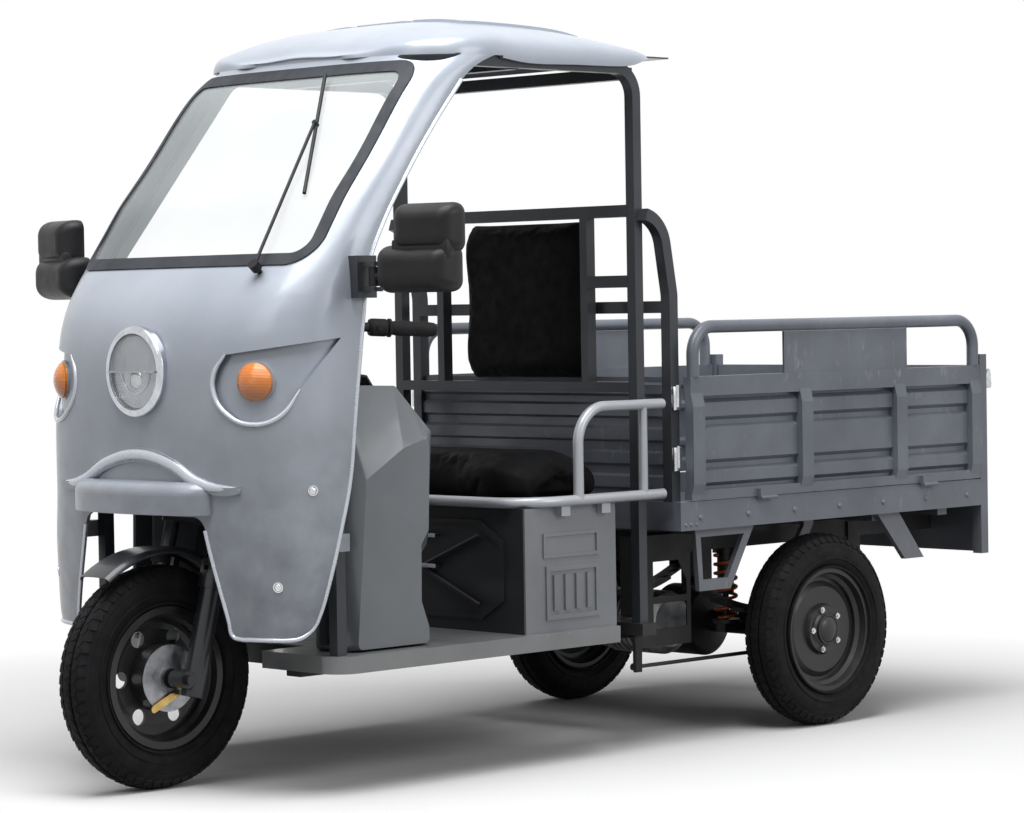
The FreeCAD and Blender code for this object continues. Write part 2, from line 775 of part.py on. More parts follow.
def axle_housing():
    """Axle tube with the differential's banjo, spring seats, shock brackets and brake back plates."""
    tube = s.axle_tube_radius
    end = s.half_track - 72
    stub_end = s.half_track + 19.5
    half = [(0, stub_end), (s.stub_radius, stub_end), (s.stub_radius, end), (s.drum_radius - 4, end),
            (s.drum_radius - 4, end - 6), (tube, end - 6), (tube, 84), (s.banjo_radius - 12, 70),
            (s.banjo_radius, 58)]
    outline = half + [(u, -v) for u, v in reversed(half)]
    housing = put(turned("axle_tube", outline), s.rear_axle_x, 0, s.rear_tyre_radius)
    pieces = [housing]
    loose = []
    seat_top = s.rear_tyre_radius + tube + 2
    for word, side in (("left", 1), ("right", -1)):
        pieces.append(block(f"spring_seat_{word}", (s.rear_axle_x - 32, s.rear_axle_x + 32),
                            sided(side, s.rail_offset - 25, s.rail_offset + 25), (s.rear_tyre_radius, seat_top)))
        pieces.append(block(f"shock_arm_{word}", (s.rear_axle_x, s.shock_x + 22),
                            sided(side, s.shock_y - 15, s.shock_y + 15),
                            (s.rear_tyre_radius - 12, s.rear_tyre_radius + 12)))
        y = s.shock_y * side
        rod_low = s.rear_tyre_radius + 12
        loose.append(rod(f"shock_rod_{word}", 8, "Z", (s.shock_x, y, s.coil_low), 430 - s.coil_low))
        loose.append(rod(f"shock_perch_{word}", 36, "Z", (s.shock_x, y, rod_low), s.coil_low - rod_low))
        for number, x in enumerate((-43, 43)):
            leg = s.rail_offset + 32
            inside = s.rail_offset - 32
            points = [(s.rear_axle_x + x, y, z) for y, z in (
                (inside * side, 214), (inside * side, 312), (leg * side, 312), (leg * side, 214))]
            loose.append(round_tube(f"u_bolt_{word}_{number}", 5, points, 9))
        loose.append(block(f"u_bolt_plate_{word}", (s.rear_axle_x - 52, s.rear_axle_x + 52),
                           sided(side, s.rail_offset - 42, s.rail_offset + 42), (206, 214)))
    weld = fused("axle_weld", pieces)
    node("axle_housing", group("axle_housing", [weld] + loose))


def drive_motor():
    """The motor can with cooling fins, and the gear case that drives the differential."""
    x, z = -515, 260
    can = s.motor_radius
    outline = [(0, -84), (can, -84), (can, -60)]
    for number in range(7):
        start = -60 + number * 20
        outline += [(can - 6, start), (can - 6, start + 8), (can, start + 8), (can, start + 20)]
    outline += [(can - 4, 92), (can - 20, 104), (0, 104)]
    motor = put(turned("motor_can", outline), x, 0, z)
    drop = float(s.rear_axle_x) - x
    lean = math.degrees(math.atan2(z - float(s.rear_tyre_radius), -drop))
    reach = math.hypot(drop, z - float(s.rear_tyre_radius))
    case = [(0, -78, 78.01), (reach, -66), (reach, 66, 66.01), (0, 78)]
    gear_case = padded("gear_case", "XZ_Plane", [case], 40, [(reach, 0, s.axle_tube_radius + 0.3)])
    gear_case.Placement.Rotation = Rotation(Vector(0, 1, 0), 180 - lean)
    put(gear_case, x, -84, z)
    node("drive_motor", group("drive_motor", [motor, gear_case]))


def leaf_springs():
    """Two packs of three curved leaves, the longest rolled into an eye at each end."""
    gauge = s.leaf_gauge
    seat_top = s.rear_tyre_radius + s.axle_tube_radius + 2.3
    run = s.leaf_half_span
    rise = s.eye_height - s.eye_radius - seat_top - (gauge + 0.3) * 2
    bend = cap_radius(run, rise)
    pack = []
    for number, share in enumerate((1.0, 0.74, 0.48)):
        low = seat_top + (gauge + 0.3) * (2 - number)
        reach = run * share
        end = low + bend - root(bend * bend - reach * reach)
        leaf = [(-reach, end), (reach, end, bend), (reach, end + gauge), (-reach, end + gauge, -bend)]
        body = padded(f"leaf_{number}", "XZ_Plane", [leaf], s.leaf_width)
        put(body, s.rear_axle_x, s.rail_offset + s.leaf_width / 2, 0)
        pack.append(body)
    eyes = []
    for number, way in enumerate((-1, 1)):
        ring = padded(f"leaf_eye_{number}", "XZ_Plane", [], s.leaf_width,
                      [(0, 0, s.eye_radius), (0, 0, s.eye_radius - gauge + 0.05)])
        eyes.append(put(ring, s.rear_axle_x + run * way, s.rail_offset + s.leaf_width / 2, s.eye_height))
    pack[0] = fused("leaf_main", [pack[0]] + eyes)
    right = [mirrored(f"leaf_right_{number}", body) for number, body in enumerate(pack)]
    node("leaf_springs", group("leaf_springs", pack + right))


def biarc(start, start_heading, end, end_heading):
    """Two arcs that leave and arrive along the given headings."""
    span = end - start
    both = start_heading + end_heading
    a = 2 * (1 - start_heading.dot(end_heading))
    b = 2 * span.dot(both)
    c = -span.dot(span)
    reach = -c / b if abs(a) < 1e-9 else (-b + math.sqrt(b * b - 4 * a * c)) / (2 * a)
    joint = (start + start_heading * reach + end - end_heading * reach) * 0.5
    edges = []
    for first, heading, last in ((start, start_heading, joint), (end, end_heading * -1, joint)):
        chord = last - first
        normal = chord - heading * chord.dot(heading)
        radius = chord.dot(chord) / (2 * normal.Length)
        centre = first + normal.normalize() * radius
        middle = centre + ((first + last) * 0.5 - centre).normalize() * radius
        edges.append((first, middle, last))
    back = edges[1]
    return [Part.Arc(*edges[0]).toShape(), Part.Arc(back[2], back[1], back[0]).toShape()]


def shock_springs():
    """Open coil springs round the shocks, wound as one wire."""
    wire = float(s.coil_wire)
    radius = float(s.coil_radius)
    low = float(s.coil_low) + wire / 2 + 0.2
    high = float(s.coil_top) - wire / 2 - 0.2
    turns = int(float(s.coil_turns))
    pitch = (high - low) / turns
    quarters = turns * 4

    def place(number):
        angle = number * math.pi / 2
        return Vector(radius * math.cos(angle), radius * math.sin(angle), low + pitch * number / 4)

    def heading(number):
        angle = number * math.pi / 2
        return Vector(-radius * math.sin(angle), radius * math.cos(angle), pitch / (2 * math.pi)).normalize()

    edges = []
    for number in range(quarters):
        edges += biarc(place(number), heading(number), place(number + 1), heading(number + 1))
    path = Part.Wire(edges)
    profile = Part.Wire(Part.Circle(place(0), heading(0), wire / 2).toShape())
    coil = path.makePipeShell([profile], True, False)
    springs = []
    for word, side in (("left", 1), ("right", -1)):
        spring = shape_object(f"coil_{word}", coil.copy())
        spring.Placement = Placement(Vector(float(s.shock_x), float(s.shock_y) * side, 0), Rotation())
        springs.append(spring)
    node("shock_springs", group("shock_springs", springs))


HAND_BRAKE = (-105, 365, 291)


def hand_brake():
    """The parking lever beside the seat, and the rod that it pushes."""
    x, y, z = HAND_BRAKE
    outline = [(-11, -108), (11, -108), (13, 0), (9, 270), (-9, 270), (-13, 0)]
    lever = padded("hand_lever_bar", "XZ_Plane", [outline], 10)
    put(lever, x, y + 5, z)
    knob = rod("hand_lever_grip", 14, "Z", (x, y, z + 270), 70)
    hub = rod("hand_lever_hub", 18, "Y", (x, y - 14, z), 28)
    node("hand_brake_lever", fused("hand_brake_lever", [lever, knob, hub]))
    rod_z = z - 96
    bar = rod("brake_bar", 5, "X", (-572, y - 12, rod_z), 572 + x + 6)
    eye = rod("brake_bar_eye", 9, "Y", (x, y - 18, rod_z), 12.7)
    node("brake_rod", fused("brake_rod", [bar, eye]))


PEDAL = (760, -150, 336.5)


def brake_pedal():
    """The foot brake: a bent arm from a pivot on the floor, with a ribbed tread."""
    x, y, z = PEDAL
    outline = [(0, -12), (40, 10), (-60, 150), (-82, 150), (-20, 40), (-24, -12)]
    arm = put(padded("pedal_arm", "XZ_Plane", [outline], 12, [(0, 0, 5.05)]), x, y + 6, z)
    tread = block("pedal_tread", (-26, 26), (-38, 38), (0, 10))
    ribs = [block(f"pedal_rib_{number}", (-24 + number * 12, -18 + number * 12), (-34, 34), (10, 13))
            for number in range(5)]
    pedal = group("pedal_tread_lean", [fused("pedal_tread_ribs", [tread] + ribs)])
    pedal.Placement = Placement(Vector(x - 71, y, 484), Rotation(Vector(0, 1, 0), -38))
    node("brake_pedal", fused("brake_pedal", [arm, pedal]))


# Load bed

def bed_frame():
    """Sills, beams, joists, rear posts, the rear lamp board's posts and the struts under the sills."""
    half = s.bed_half_width
    post = s.bed_post
    sill = (s.bed_sill_low, s.bed_sill_top)
    bars = [
        block("bed_front_beam", (s.bed_front - post, s.bed_front), (-half, half), sill),
        block("bed_rear_beam", (s.bed_rear, s.bed_rear + post), (post - half, half - post), sill),
    ]
    bars.append(block("rear_lamp_board", (s.bed_rear + 8, s.bed_rear + 14), (post - half, half - post),
                      (412, s.bed_sill_low)))
    for number, (x, reach) in enumerate(((-1240, half - 40), (-960, half - 40), (-768, 385), (-330, half - 40))):
        bars.append(block(f"joist_{number}", (x, x + 40), (-reach, reach), (s.high_rail_top, s.bed_floor_low)))
    for word, side in (("left", 1), ("right", -1)):
        bars.append(block(f"bed_sill_{word}", (s.bed_rear + post, s.bed_front - post),
                          sided(side, half - 40, half), sill))
        bars.append(block(f"rear_post_{word}", (s.bed_rear, s.bed_rear + post), sided(side, half - post, half),
                          (408, 955)))
        bracket = [(-205, s.bed_sill_low), (-428, s.bed_sill_low), (-335, 384), (-218, 384)]
        opening = [(-225, 520), (-388, 520), (-325, 412), (-232, 412)]
        struts = [
            [bracket, opening],
            [[(-922, s.bed_sill_low), (-1012, s.bed_sill_low), (-1118, 412), (-1038, 412)]],
        ]
        for number, outlines in enumerate(struts):
            strut = padded(f"strut_{word}_{number}", "XZ_Plane", outlines, 14)
            bars.append(put(strut, 0, half - 24 if side > 0 else 38 - half, 0))
        guard = padded(f"wheel_strut_{word}", "XZ_Plane", [[
            (-730, s.high_rail_top), (-766, s.high_rail_top), (-690, 398), (-628, 386)]], 14)
        bars.append(put(guard, 0, 386 if side > 0 else -372, 0))
    node("bed_frame", group("bed_frame", bars))


def bed_floor():
    half = s.bed_half_width - 40
    plate = block("bed_floor", (s.bed_rear + s.bed_post, s.bed_front - s.bed_post), (-half, half),
                  (s.bed_floor_low, s.bed_floor_low + s.bed_floor_gauge))
    node("bed_floor", plate)


def ribbed_sheet(low, high, ribs, depth, gauge):
    """Outline (across, up) of an upright sheet with flat-topped ribs that stand out by depth."""
    face = [(0, low)]
    for start, end in ribs:
        face += [(0, start), (depth, start + depth * 0.8), (depth, end - depth * 0.8), (0, end)]
    face.append((0, high))
    back = [(u - gauge, v) for u, v in reversed(face)]
    return face + back


def bed_front_wall():
    ribs = [(640, 680), (700, 740), (760, 800), (820, 860), (876, 912)]
    outline = ribbed_sheet(s.bed_sill_top, s.wall_top, ribs, 8, 3)
    half = s.hoop_offset + s.hoop_side / 2
    wall = padded("bed_front_wall", "XZ_Plane", [outline], half * 2)
    put(wall, s.bed_front - 14, half, 0)
    node("bed_front_wall", wall)


def side_panel(word, side):
    """One drop side: ribbed skin between two box beams, stakes, end rails, a bent top rail and a centre plate."""
    front = s.bed_front - 38
    rear = s.bed_rear + 36
    skin = s.side_skin
    length = front - rear
    ribs = [(648, 694), (706, 802), (814, 868)]
    section = ribbed_sheet(s.panel_low, s.wall_top, ribs, 12, 4)
    sheet_wall = padded(f"side_skin_{word}", "YZ_Plane", [section], length)
    put(sheet_wall, rear, skin + 4, 0)
    inner, outer = skin, skin + 24
    bars = [
        sheet_wall,
        block(f"side_low_beam_{word}", (rear, front), (inner, outer), (s.panel_low, 640)),
        block(f"side_top_beam_{word}", (rear, front), (inner, outer), (876, s.wall_top)),
    ]
    for number, x in enumerate((rear, -1012, -625, front - 44)):
        stake = padded(f"stake_{word}_{number}", "YZ_Plane", [[
            (inner + 4, s.panel_low + 12), (outer, s.panel_low + 14), (outer + 8, s.panel_low + 40),
            (outer + 8, 850), (outer, 884), (inner + 4, 884)]], 44)
        bars.append(put(stake, x, 0, 0))
    for number, x in enumerate((-1130, -470)):
        bars.append(rod(f"side_knuckle_{word}_{number}", 5, "X", (x, s.side_hinge_y, s.hinge_z), 60))
        bars.append(block(f"side_hinge_leaf_{word}_{number}", (x, x + 60), (outer - 4, s.side_hinge_y + 1),
                          (s.hinge_z, s.panel_low + 18)))
    weld = fused(f"side_weld_{word}", bars)
    rail_z = s.bed_rail_top - 16
    y = inner + 14
    top = float(s.wall_top)
    points = [(front - 20, y, top), (front - 20, y, rail_z), (rear + 18, y, rail_z), (rear + 18, y, top)]
    rail = round_tube(f"side_rail_{word}", 16, points, 70)
    plate = block(f"side_plate_top_{word}", (-1030, -530), (y - 3, y + 3), (s.wall_top, rail_z - 16.3))
    whole = group(f"side_group_{word}", [weld, rail, plate])
    if side < 0:
        whole = mirrored(f"side_mirror_{word}", whole)
    node(f"side_panel_{word}", whole)


def tailgate():
    half = s.bed_half_width - s.bed_post - 4
    rear = s.bed_rear + 4
    ribs = [(648, 694), (706, 802), (814, 868)]
    outline = [(-u, v) for u, v in ribbed_sheet(s.panel_low, s.wall_top, ribs, 10, 4)]
    skin = put(padded("tail_skin", "XZ_Plane", [outline], half * 2), rear + 10, half, 0)
    bars = [
        skin,
        block("tail_low_beam", (rear, rear + 22), (-half, half), (s.panel_low, 640)),
        block("tail_top_beam", (rear, rear + 22), (-half, half), (876, s.wall_top)),
    ]
    for number, y in enumerate((-half, -150, 106, half - 44)):
        bars.append(block(f"tail_stake_{number}", (rear - 6, rear + 14), (y, y + 44), (s.panel_low + 12, 884)))
    for number, y in enumerate((-300, 240)):
        bars.append(rod(f"tail_knuckle_{number}", 5, "Y", (s.tail_hinge_x, y, s.hinge_z), 60))
        bars.append(block(f"tail_hinge_leaf_{number}", (s.tail_hinge_x - 1, rear + 6), (y, y + 60),
                          (s.hinge_z + 3, s.panel_low + 18)))
    node("tailgate", fused("tailgate", bars))


def tail_latch(word, side):
    """A black hook latch that turns on the rear post and holds the tailgate."""
    y = s.bed_half_width - 15
    outline = [(-14, -10), (14, -10), (14, 16), (-2, 42), (-8, 42, 12), (-14, 26)]
    hook = padded(f"latch_plate_{word}", "XZ_Plane", [outline], 18)
    put(hook, s.bed_rear - 14.3, (y + 9) if side > 0 else (9 - y), 872)
    pin = rod(f"latch_pin_{word}", 12, "X", (s.bed_rear - 26, y * side, 872), 25.7)
    node(f"tail_latch_{word}", fused(f"tail_latch_{word}", [hook, pin]))


def rear_lamps():
    half = s.bed_half_width - s.bed_post
    lamps = []
    for word, side in (("left", 1), ("right", -1)):
        lamp = block(f"lamp_{word}", (s.bed_rear - 12, s.bed_rear + 8), sided(side, half - 190, half - 40),
                     (440, 510))
        lamps.append(lamp)
    node("tail_lamps", group("tail_lamps", lamps))


# Cab shell: level sections of one smooth skin, as (height, nose, door edge, half width, squareness)

SECTIONS = [
    (365, 1160, 1040, 440, 2.6),
    (430, 1165, 1022, 456, 2.7),
    (500, 1169, 1002, 465, 2.8),
    (600, 1172, 974, 470, 3.0),
    (720, 1175, 943, 472, 3.1),
    (860, 1176, 925, 472, 3.2),
    (1000, 1171, 906, 471, 3.2),
    (1090, 1152, 893, 470, 3.2),
    (1160, 1112, 882, 468, 3.2),
    (1217, 1064, 867, 466, 3.2),
    (1300, 997, 824, 464, 3.2),
    (1420, 900, 742, 461, 3.2),
    (1540, 803, 648, 458, 3.2),
    (1640, 722, 560, 456, 3.2),
    (1703, 671, 447, 454, 3.2),
]


def skin_section(height, nose, edge, half_width, square, offset, back):
    """One level section of the filled cab: the curved front, closed straight across the back."""
    half_width += offset
    nose += offset
    count = 9
    front = []
    for number in range(-count, count + 1):
        angle = number * math.pi / 2 / count
        across = math.copysign(abs(math.sin(angle)) ** (2 / square), angle)
        ahead = abs(math.cos(angle)) ** (2 / square) if abs(number) < count else 0.0
        front.append(Vector(edge + (nose - edge) * ahead, half_width * across, height))
    curve = Part.BSplineCurve()
    curve.interpolate(front)
    corners = [front[-1], Vector(edge - back, half_width, height), Vector(edge - back, -half_width, height),
               front[0]]
    edges = [curve.toShape()]
    for start, stop in zip(corners, corners[1:]):
        edges.append(Part.LineSegment(start, stop).toShape())
    return Part.Wire(edges)


def skin(offset, back=1.0, reach=0.0):
    """The filled cab front, grown or shrunk by offset. A longer back and reach let it cut right through."""
    wires = []
    for number, (height, *rest) in enumerate(SECTIONS):
        if number == 0:
            height -= reach
        if number == len(SECTIONS) - 1:
            height += reach
        wires.append(skin_section(height, *rest, offset, back))
    return Part.makeLoft(wires, True, False)


def forward_prism(wire, far=1400.0):
    """A prism along X, from where its outline lies to the far plane."""
    return Part.Face(wire).extrude(Vector(far - wire.Vertexes[0].Point.x, 0, 0))


def rounded_outline(corners, radius, x=300.0):
    """A closed outline of (y, z) corners with its corners rounded."""
    places = [Vector(x, y, z) for y, z in corners]
    count = len(places)
    edges = []
    stops = []
    for number, corner in enumerate(places):
        back = (places[number - 1] - corner).normalize()
        ahead = (places[(number + 1) % count] - corner).normalize()
        half_turn = (math.pi - back.getAngle(ahead)) / 2
        reach = radius * math.tan(half_turn)
        middle = corner + (back + ahead).normalize() * (radius / math.cos(half_turn) - radius)
        stops.append((corner + back * reach, middle, corner + ahead * reach))
    for number, (enter, middle, leave) in enumerate(stops):
        edges.append(Part.Arc(enter, middle, leave).toShape())
        edges.append(Part.LineSegment(leave, stops[(number + 1) % count][0]).toShape())
    return Part.Wire(edges)


def windshield_outline(inset):
    low, high = 1212 + inset, 1690 - inset
    corners = [(inset - 424, low), (424 - inset, low), (404 - inset, high), (inset - 404, high)]
    return rounded_outline(corners, 60 - inset)


NOSE_START = 900.0


def signal_pod(side, size):
    """A prism on a slant through the fairing's corner: round about the lamp, with a point swept up and back."""
    def place(across, up):
        return Vector(-260, across * size, up * size)
    edges = [
        Part.Arc(place(-66, 62), place(-95, -24), place(0, -96)).toShape(),
        Part.Arc(place(0, -96), place(62, -76), place(106, -18)).toShape(),
        Part.LineSegment(place(106, -18), place(196, 96)).toShape(),
        Part.LineSegment(place(196, 96), place(-66, 62)).toShape(),
    ]
    prism = Part.Face(Part.Wire(edges)).extrude(Vector(520, 0, 0))
    prism.Placement = Placement(Vector(1131, float(s.signal_y), float(s.signal_z)), Rotation(Vector(0, 0, 1), 45))
    return prism if side > 0 else prism.mirror(Vector(0, 0, 0), Vector(0, 1, 0))


def ridge_outline():
    """The wave that rises over the brow and runs out to both sides."""
    top = [(-330, 712), (-215, 728), (-110, 778), (0, 796), (110, 778), (215, 728), (330, 712)]
    low = [(330, 696), (225, 700), (118, 742), (0, 762), (-118, 742), (-225, 700), (-330, 696)]
    edges = []
    for points in (top, low):
        curve = Part.BSplineCurve()
        curve.interpolate([Vector(NOSE_START, y, z) for y, z in points])
        edges.append(curve.toShape())
    edges.insert(1, Part.LineSegment(Vector(NOSE_START, *top[-1]), Vector(NOSE_START, *low[0])).toShape())
    edges.append(Part.LineSegment(Vector(NOSE_START, *low[-1]), Vector(NOSE_START, *top[0])).toShape())
    return Part.Wire(edges)


def signal_seat(side):
    """The flat that a signal lens stands on, and the way it looks."""
    turn = math.radians(24)
    heading = Vector(math.cos(turn), side * math.sin(turn), 0)
    return Vector(1131, side * float(s.signal_y), float(s.signal_z)) - heading * 10, heading


def wiper_frame():
    """Where the wiper's spindle comes through the skin, with the ways across, up and out of the glass."""
    lean = math.atan2(1064 - 686, 1685 - 1217)
    side_lean = math.radians(7)
    up = Vector(-math.sin(lean), 0, math.cos(lean))
    ahead = Vector(math.cos(lean), 0, math.sin(lean))
    left = Vector(0, 1, 0)
    out = ahead * math.cos(side_lean) + left * math.sin(side_lean)
    across = left * math.cos(side_lean) - ahead * math.sin(side_lean)
    return Vector(1062, 312, 1194), across, up, out


def lower_corner():
    """What is cut away to round the fairing's lower rear corners, from side to side."""
    corners = ((1025.7, 416), (1010, 355), (1093, 355), (1050.7, 379.2))
    top, outside, low, middle = [Vector(x, -500, z) for x, z in corners]
    tangent = Vector(1093, -500, 365)
    edges = [Part.LineSegment(*pair).toShape() for pair in ((top, outside), (outside, low), (low, tangent))]
    edges.append(Part.Arc(tangent, middle, top).toShape())
    return Part.Face(Part.Wire(edges)).extrude(Vector(0, 1000, 0))


def wheel_brow():
    """The visor over the front wheel: a half ellipse in plan with a flat foot and a rolled upper edge."""
    half = Part.Ellipse(Vector(1160, -245, 646), Vector(1246, 0, 646), Vector(1160, 0, 646))
    curve = Part.ArcOfEllipse(half, 0, math.pi).toShape()
    back = Part.LineSegment(curve.Vertexes[-1].Point, curve.Vertexes[0].Point).toShape()
    block_shape = Part.Face(Part.Wire([curve, back])).extrude(Vector(0, 0, 74))
    crest = [edge for edge in block_shape.Edges if edge.BoundBox.ZMin > 719 and edge.BoundBox.XMax > 1200]
    return block_shape.makeFillet(30, crest).Solids[0]


def cab_front():
    """The moulded fairing, and the windshield in its seal."""
    gauge = float(s.skin_gauge)
    filled = skin(0)
    shell = filled.cut(skin(-gauge, 80.0, 20.0))
    ridge = skin(7).common(forward_prism(ridge_outline())).cut(skin(-2, 80.0, 20.0))
    shell = shell.fuse(ridge)
    pod_depth = 13
    pod_wall = skin(-1).cut(skin(-pod_depth - 4, 80.0, 20.0))
    pod_space = skin(1).cut(skin(-pod_depth, 80.0, 20.0))
    face = float(s.hoop_offset + s.hoop_side / 2)
    inside = skin(-0.5, 80.0)
    for side in (1, -1):
        shell = shell.fuse(pod_wall.common(signal_pod(side, 1.045)))
        shell = shell.cut(pod_space.common(signal_pod(side, 1.0)))
        seat, heading = signal_seat(side)
        lamp = float(s.signal_radius)
        shell = shell.fuse(Part.makeCylinder(lamp + 5, 26, seat - heading * 26, heading))
        shell = shell.cut(Part.makeCylinder(lamp + 1, 40, seat, heading))
        for height, length in ((560, 70), (780, 26)):
            lug = Part.makeBox(length, 30, 40, Vector(945, face if side > 0 else -face - 30, height))
            shell = shell.fuse(lug.common(inside))
    shell = shell.cut(forward_prism(windshield_outline(0)))
    shell = shell.cut(lower_corner())
    arch = [(-300, 300), (300, 300), (282, 400), (215, 640), (-215, 640), (-282, 400)]
    shell = shell.cut(forward_prism(rounded_outline(arch, 40, NOSE_START)))
    lamp_z = float(s.headlight_z)
    lamp_hole = Part.makeCylinder(float(s.headlight_radius) - 7, 300, Vector(1000, 0, lamp_z), Vector(1, 0, 0))
    shell = shell.cut(lamp_hole)
    spindle, across, up, out = wiper_frame()
    shell = shell.cut(Part.makeCylinder(6.4, 80, spindle - out * 40, out))
    moulding = shape_object("fairing_moulding", shell.removeSplitter())
    fairing = node("front_fairing", fused("front_fairing", [moulding, shape_object("brow", wheel_brow())]))
    seal_width = float(s.seal_width)
    glass = skin(-1).cut(skin(-5, 80.0, 20.0)).common(forward_prism(windshield_outline(seal_width)))
    node("windshield", shape_object("windshield", glass))
    band = forward_prism(windshield_outline(0)).cut(forward_prism(windshield_outline(seal_width)))
    seal = skin(4).cut(skin(-9, 80.0, 20.0)).common(band)
    node("windshield_seal", shape_object("windshield_seal", seal))
    return fairing


def headlight(fairing):
    """A bright bowl with a rolled bezel and a domed lens over it, and the two signal lenses."""
    radius = s.headlight_radius
    bowl = turned("headlight_shell", [
        (0, -100), (42, -100), (radius - 8, -60), (radius - 8, -4), (radius, -4), (radius, 10), (radius - 8, 18, 9),
        (radius - 17, 18), (radius - 17, 6), (radius - 13, 2), (radius - 13, -58), (40, -95), (0, -95)])
    bowl.Placement = Placement(Vector(1173, 0, float(s.headlight_z)), Rotation(Vector(0, 1, 0), Vector(1, 0, 0)))
    node("headlight_bowl", cut("headlight_bowl", bowl, fairing))
    lens_half = radius - 17.3
    lens = turned("headlight_lens", [(0, 8), (lens_half, 8), (lens_half, 15), (0, 24, cap_radius(lens_half, 9))])
    lens.Placement = bowl.Placement
    node("headlight_lens", lens)
    lenses = []
    for word, side in (("left", 1), ("right", -1)):
        half = s.signal_radius
        dome = turned(f"signal_{word}", [(0, 0), (half, 0), (half, 6), (0, 24, cap_radius(half, 18))])
        seat, heading = signal_seat(side)
        dome.Placement = Placement(seat, Rotation(Vector(0, 1, 0), heading))
        lenses.append(dome)
    node("turn_signal_lenses", group("turn_signal_lenses", lenses))


def roof_section(x, half, edge, crown):
    """A cross section of the filled roof: a flat foot and a crowned top."""
    shoulder = edge + (crown - edge) * 0.66
    top = [(-half, edge), (-half * 0.975, edge + (shoulder - edge) * 0.62), (-half * 0.86, shoulder), (0, crown),
           (half * 0.86, shoulder), (half * 0.975, edge + (shoulder - edge) * 0.62), (half, edge)]
    curve = Part.BSplineCurve()
    curve.interpolate([Vector(x, y, z) for y, z in top])
    foot = Part.LineSegment(Vector(x, half, edge), Vector(x, -half, edge)).toShape()
    return Part.Wire([curve.toShape(), foot])


ROOF = [
    (-92, 444, 1716, 1740), (-50, 450, 1702, 1768), (40, 454, 1692, 1792), (200, 455, 1690, 1804),
    (360, 455, 1690, 1806), (447, 454, 1700, 1802), (530, 448, 1700, 1790), (600, 407, 1700, 1769),
    (640, 335, 1700, 1744), (660, 250, 1700, 1724), (669, 160, 1700, 1712),
]


def roof_shell():
    """A crowned shell that carries on from the fairing, with three raised panels and a thin lip at the back."""
    outer = Part.makeLoft([roof_section(*row) for row in ROOF], True, False)
    wall = float(s.roof_wall)
    inner_rows = [(x, half - wall, edge - 12, crown - 14) for x, half, edge, crown in ROOF[1:-1]]
    inner = Part.makeLoft([roof_section(*row) for row in inner_rows], True, False)
    raised = outer.copy()
    raised.translate(Vector(0, 0, 7))
    panels = []
    for low, high in ((-290, -120), (-85, 85), (120, 290)):
        strip = raised.common(Part.makeBox(400, high - low, 200, Vector(0, low, 1720)))
        panels.append(strip)
    solid = outer.fuse(panels).cut(inner)
    solid = solid.fuse(Part.makeBox(92, 870, 4, Vector(-176, -435, 1719)))
    fairing_top = SECTIONS[-1][0]
    solid = solid.cut(Part.makeBox(400, 1000, 100, Vector(420, -500, fairing_top - 100)))
    reach = float(s.hoop_side)
    inside = float(s.hoop_offset) - reach / 2
    for y in (inside, -inside - reach):
        solid = solid.cut(Part.makeBox(640, reach, 100, Vector(-80, y, float(s.roof_edge) - 100)))
    node("roof_shell", shape_object("roof_shell", solid.removeSplitter()))


def cab_frame():
    """Square tube hoops up the rear pillars, along the roof and down the windshield pillars."""
    top = s.roof_edge - s.hoop_side / 2
    foot = s.floor_top - s.floor_gauge
    y = s.hoop_offset
    points = [(s.pillar_x, y, foot), (s.pillar_x, y, top), (530, y, top), (900, y, 1240), (950, y, 900),
              (950, y, s.floor_top)]
    hoop = square_tube("hoop_left", s.hoop_side, points, 70)
    node("cab_frame", pair("cab_frame", hoop))


def guard_bars():
    """Bars across the back of the cab, and arched posts from the bed up to the pillars."""
    half = s.hoop_offset - s.hoop_side / 2
    depth = (s.pillar_x - 15, s.pillar_x + 15)
    low, high = (890, 915), (1325, 1355)
    bars = [block(f"guard_bar_{number}", depth, (-half, half), level) for number, level in enumerate((low, high))]
    reach = s.hoop_offset + s.hoop_side / 2
    bars.append(block("pad_bar", (s.bed_front - s.bed_post, s.bed_front), (-reach, reach), (1085, 1115)))
    for word, side in (("left", 1), ("right", -1)):
        bars.append(block(f"guard_upright_{word}", depth, sided(side, 252, 276), (low[1], high[0])))
        bars.append(block(f"guard_rung_{word}", depth, sided(side, 276, half), (1150, 1180)))
    bars.append(block("roof_bow_rear", depth, (-half, half), (s.roof_edge - 40, s.roof_edge - 10)))
    bars.append(block("roof_bow_front", (330, 360), (-half, half), (s.roof_edge - 30, s.roof_edge)))
    y = s.hoop_offset + s.hoop_side / 2 + s.bed_post / 2
    x = s.bed_front - s.bed_post / 2
    points = [(x, y, s.bed_sill_top), (x, y, 1130), (s.pillar_x - 60, y, 1310), (s.pillar_x, y, 1330)]
    arch = square_tube("arch_left", s.bed_post, points, 90)
    bars += [arch, mirrored("arch_right", arch)]
    node("rear_guard", group("rear_guard", bars))


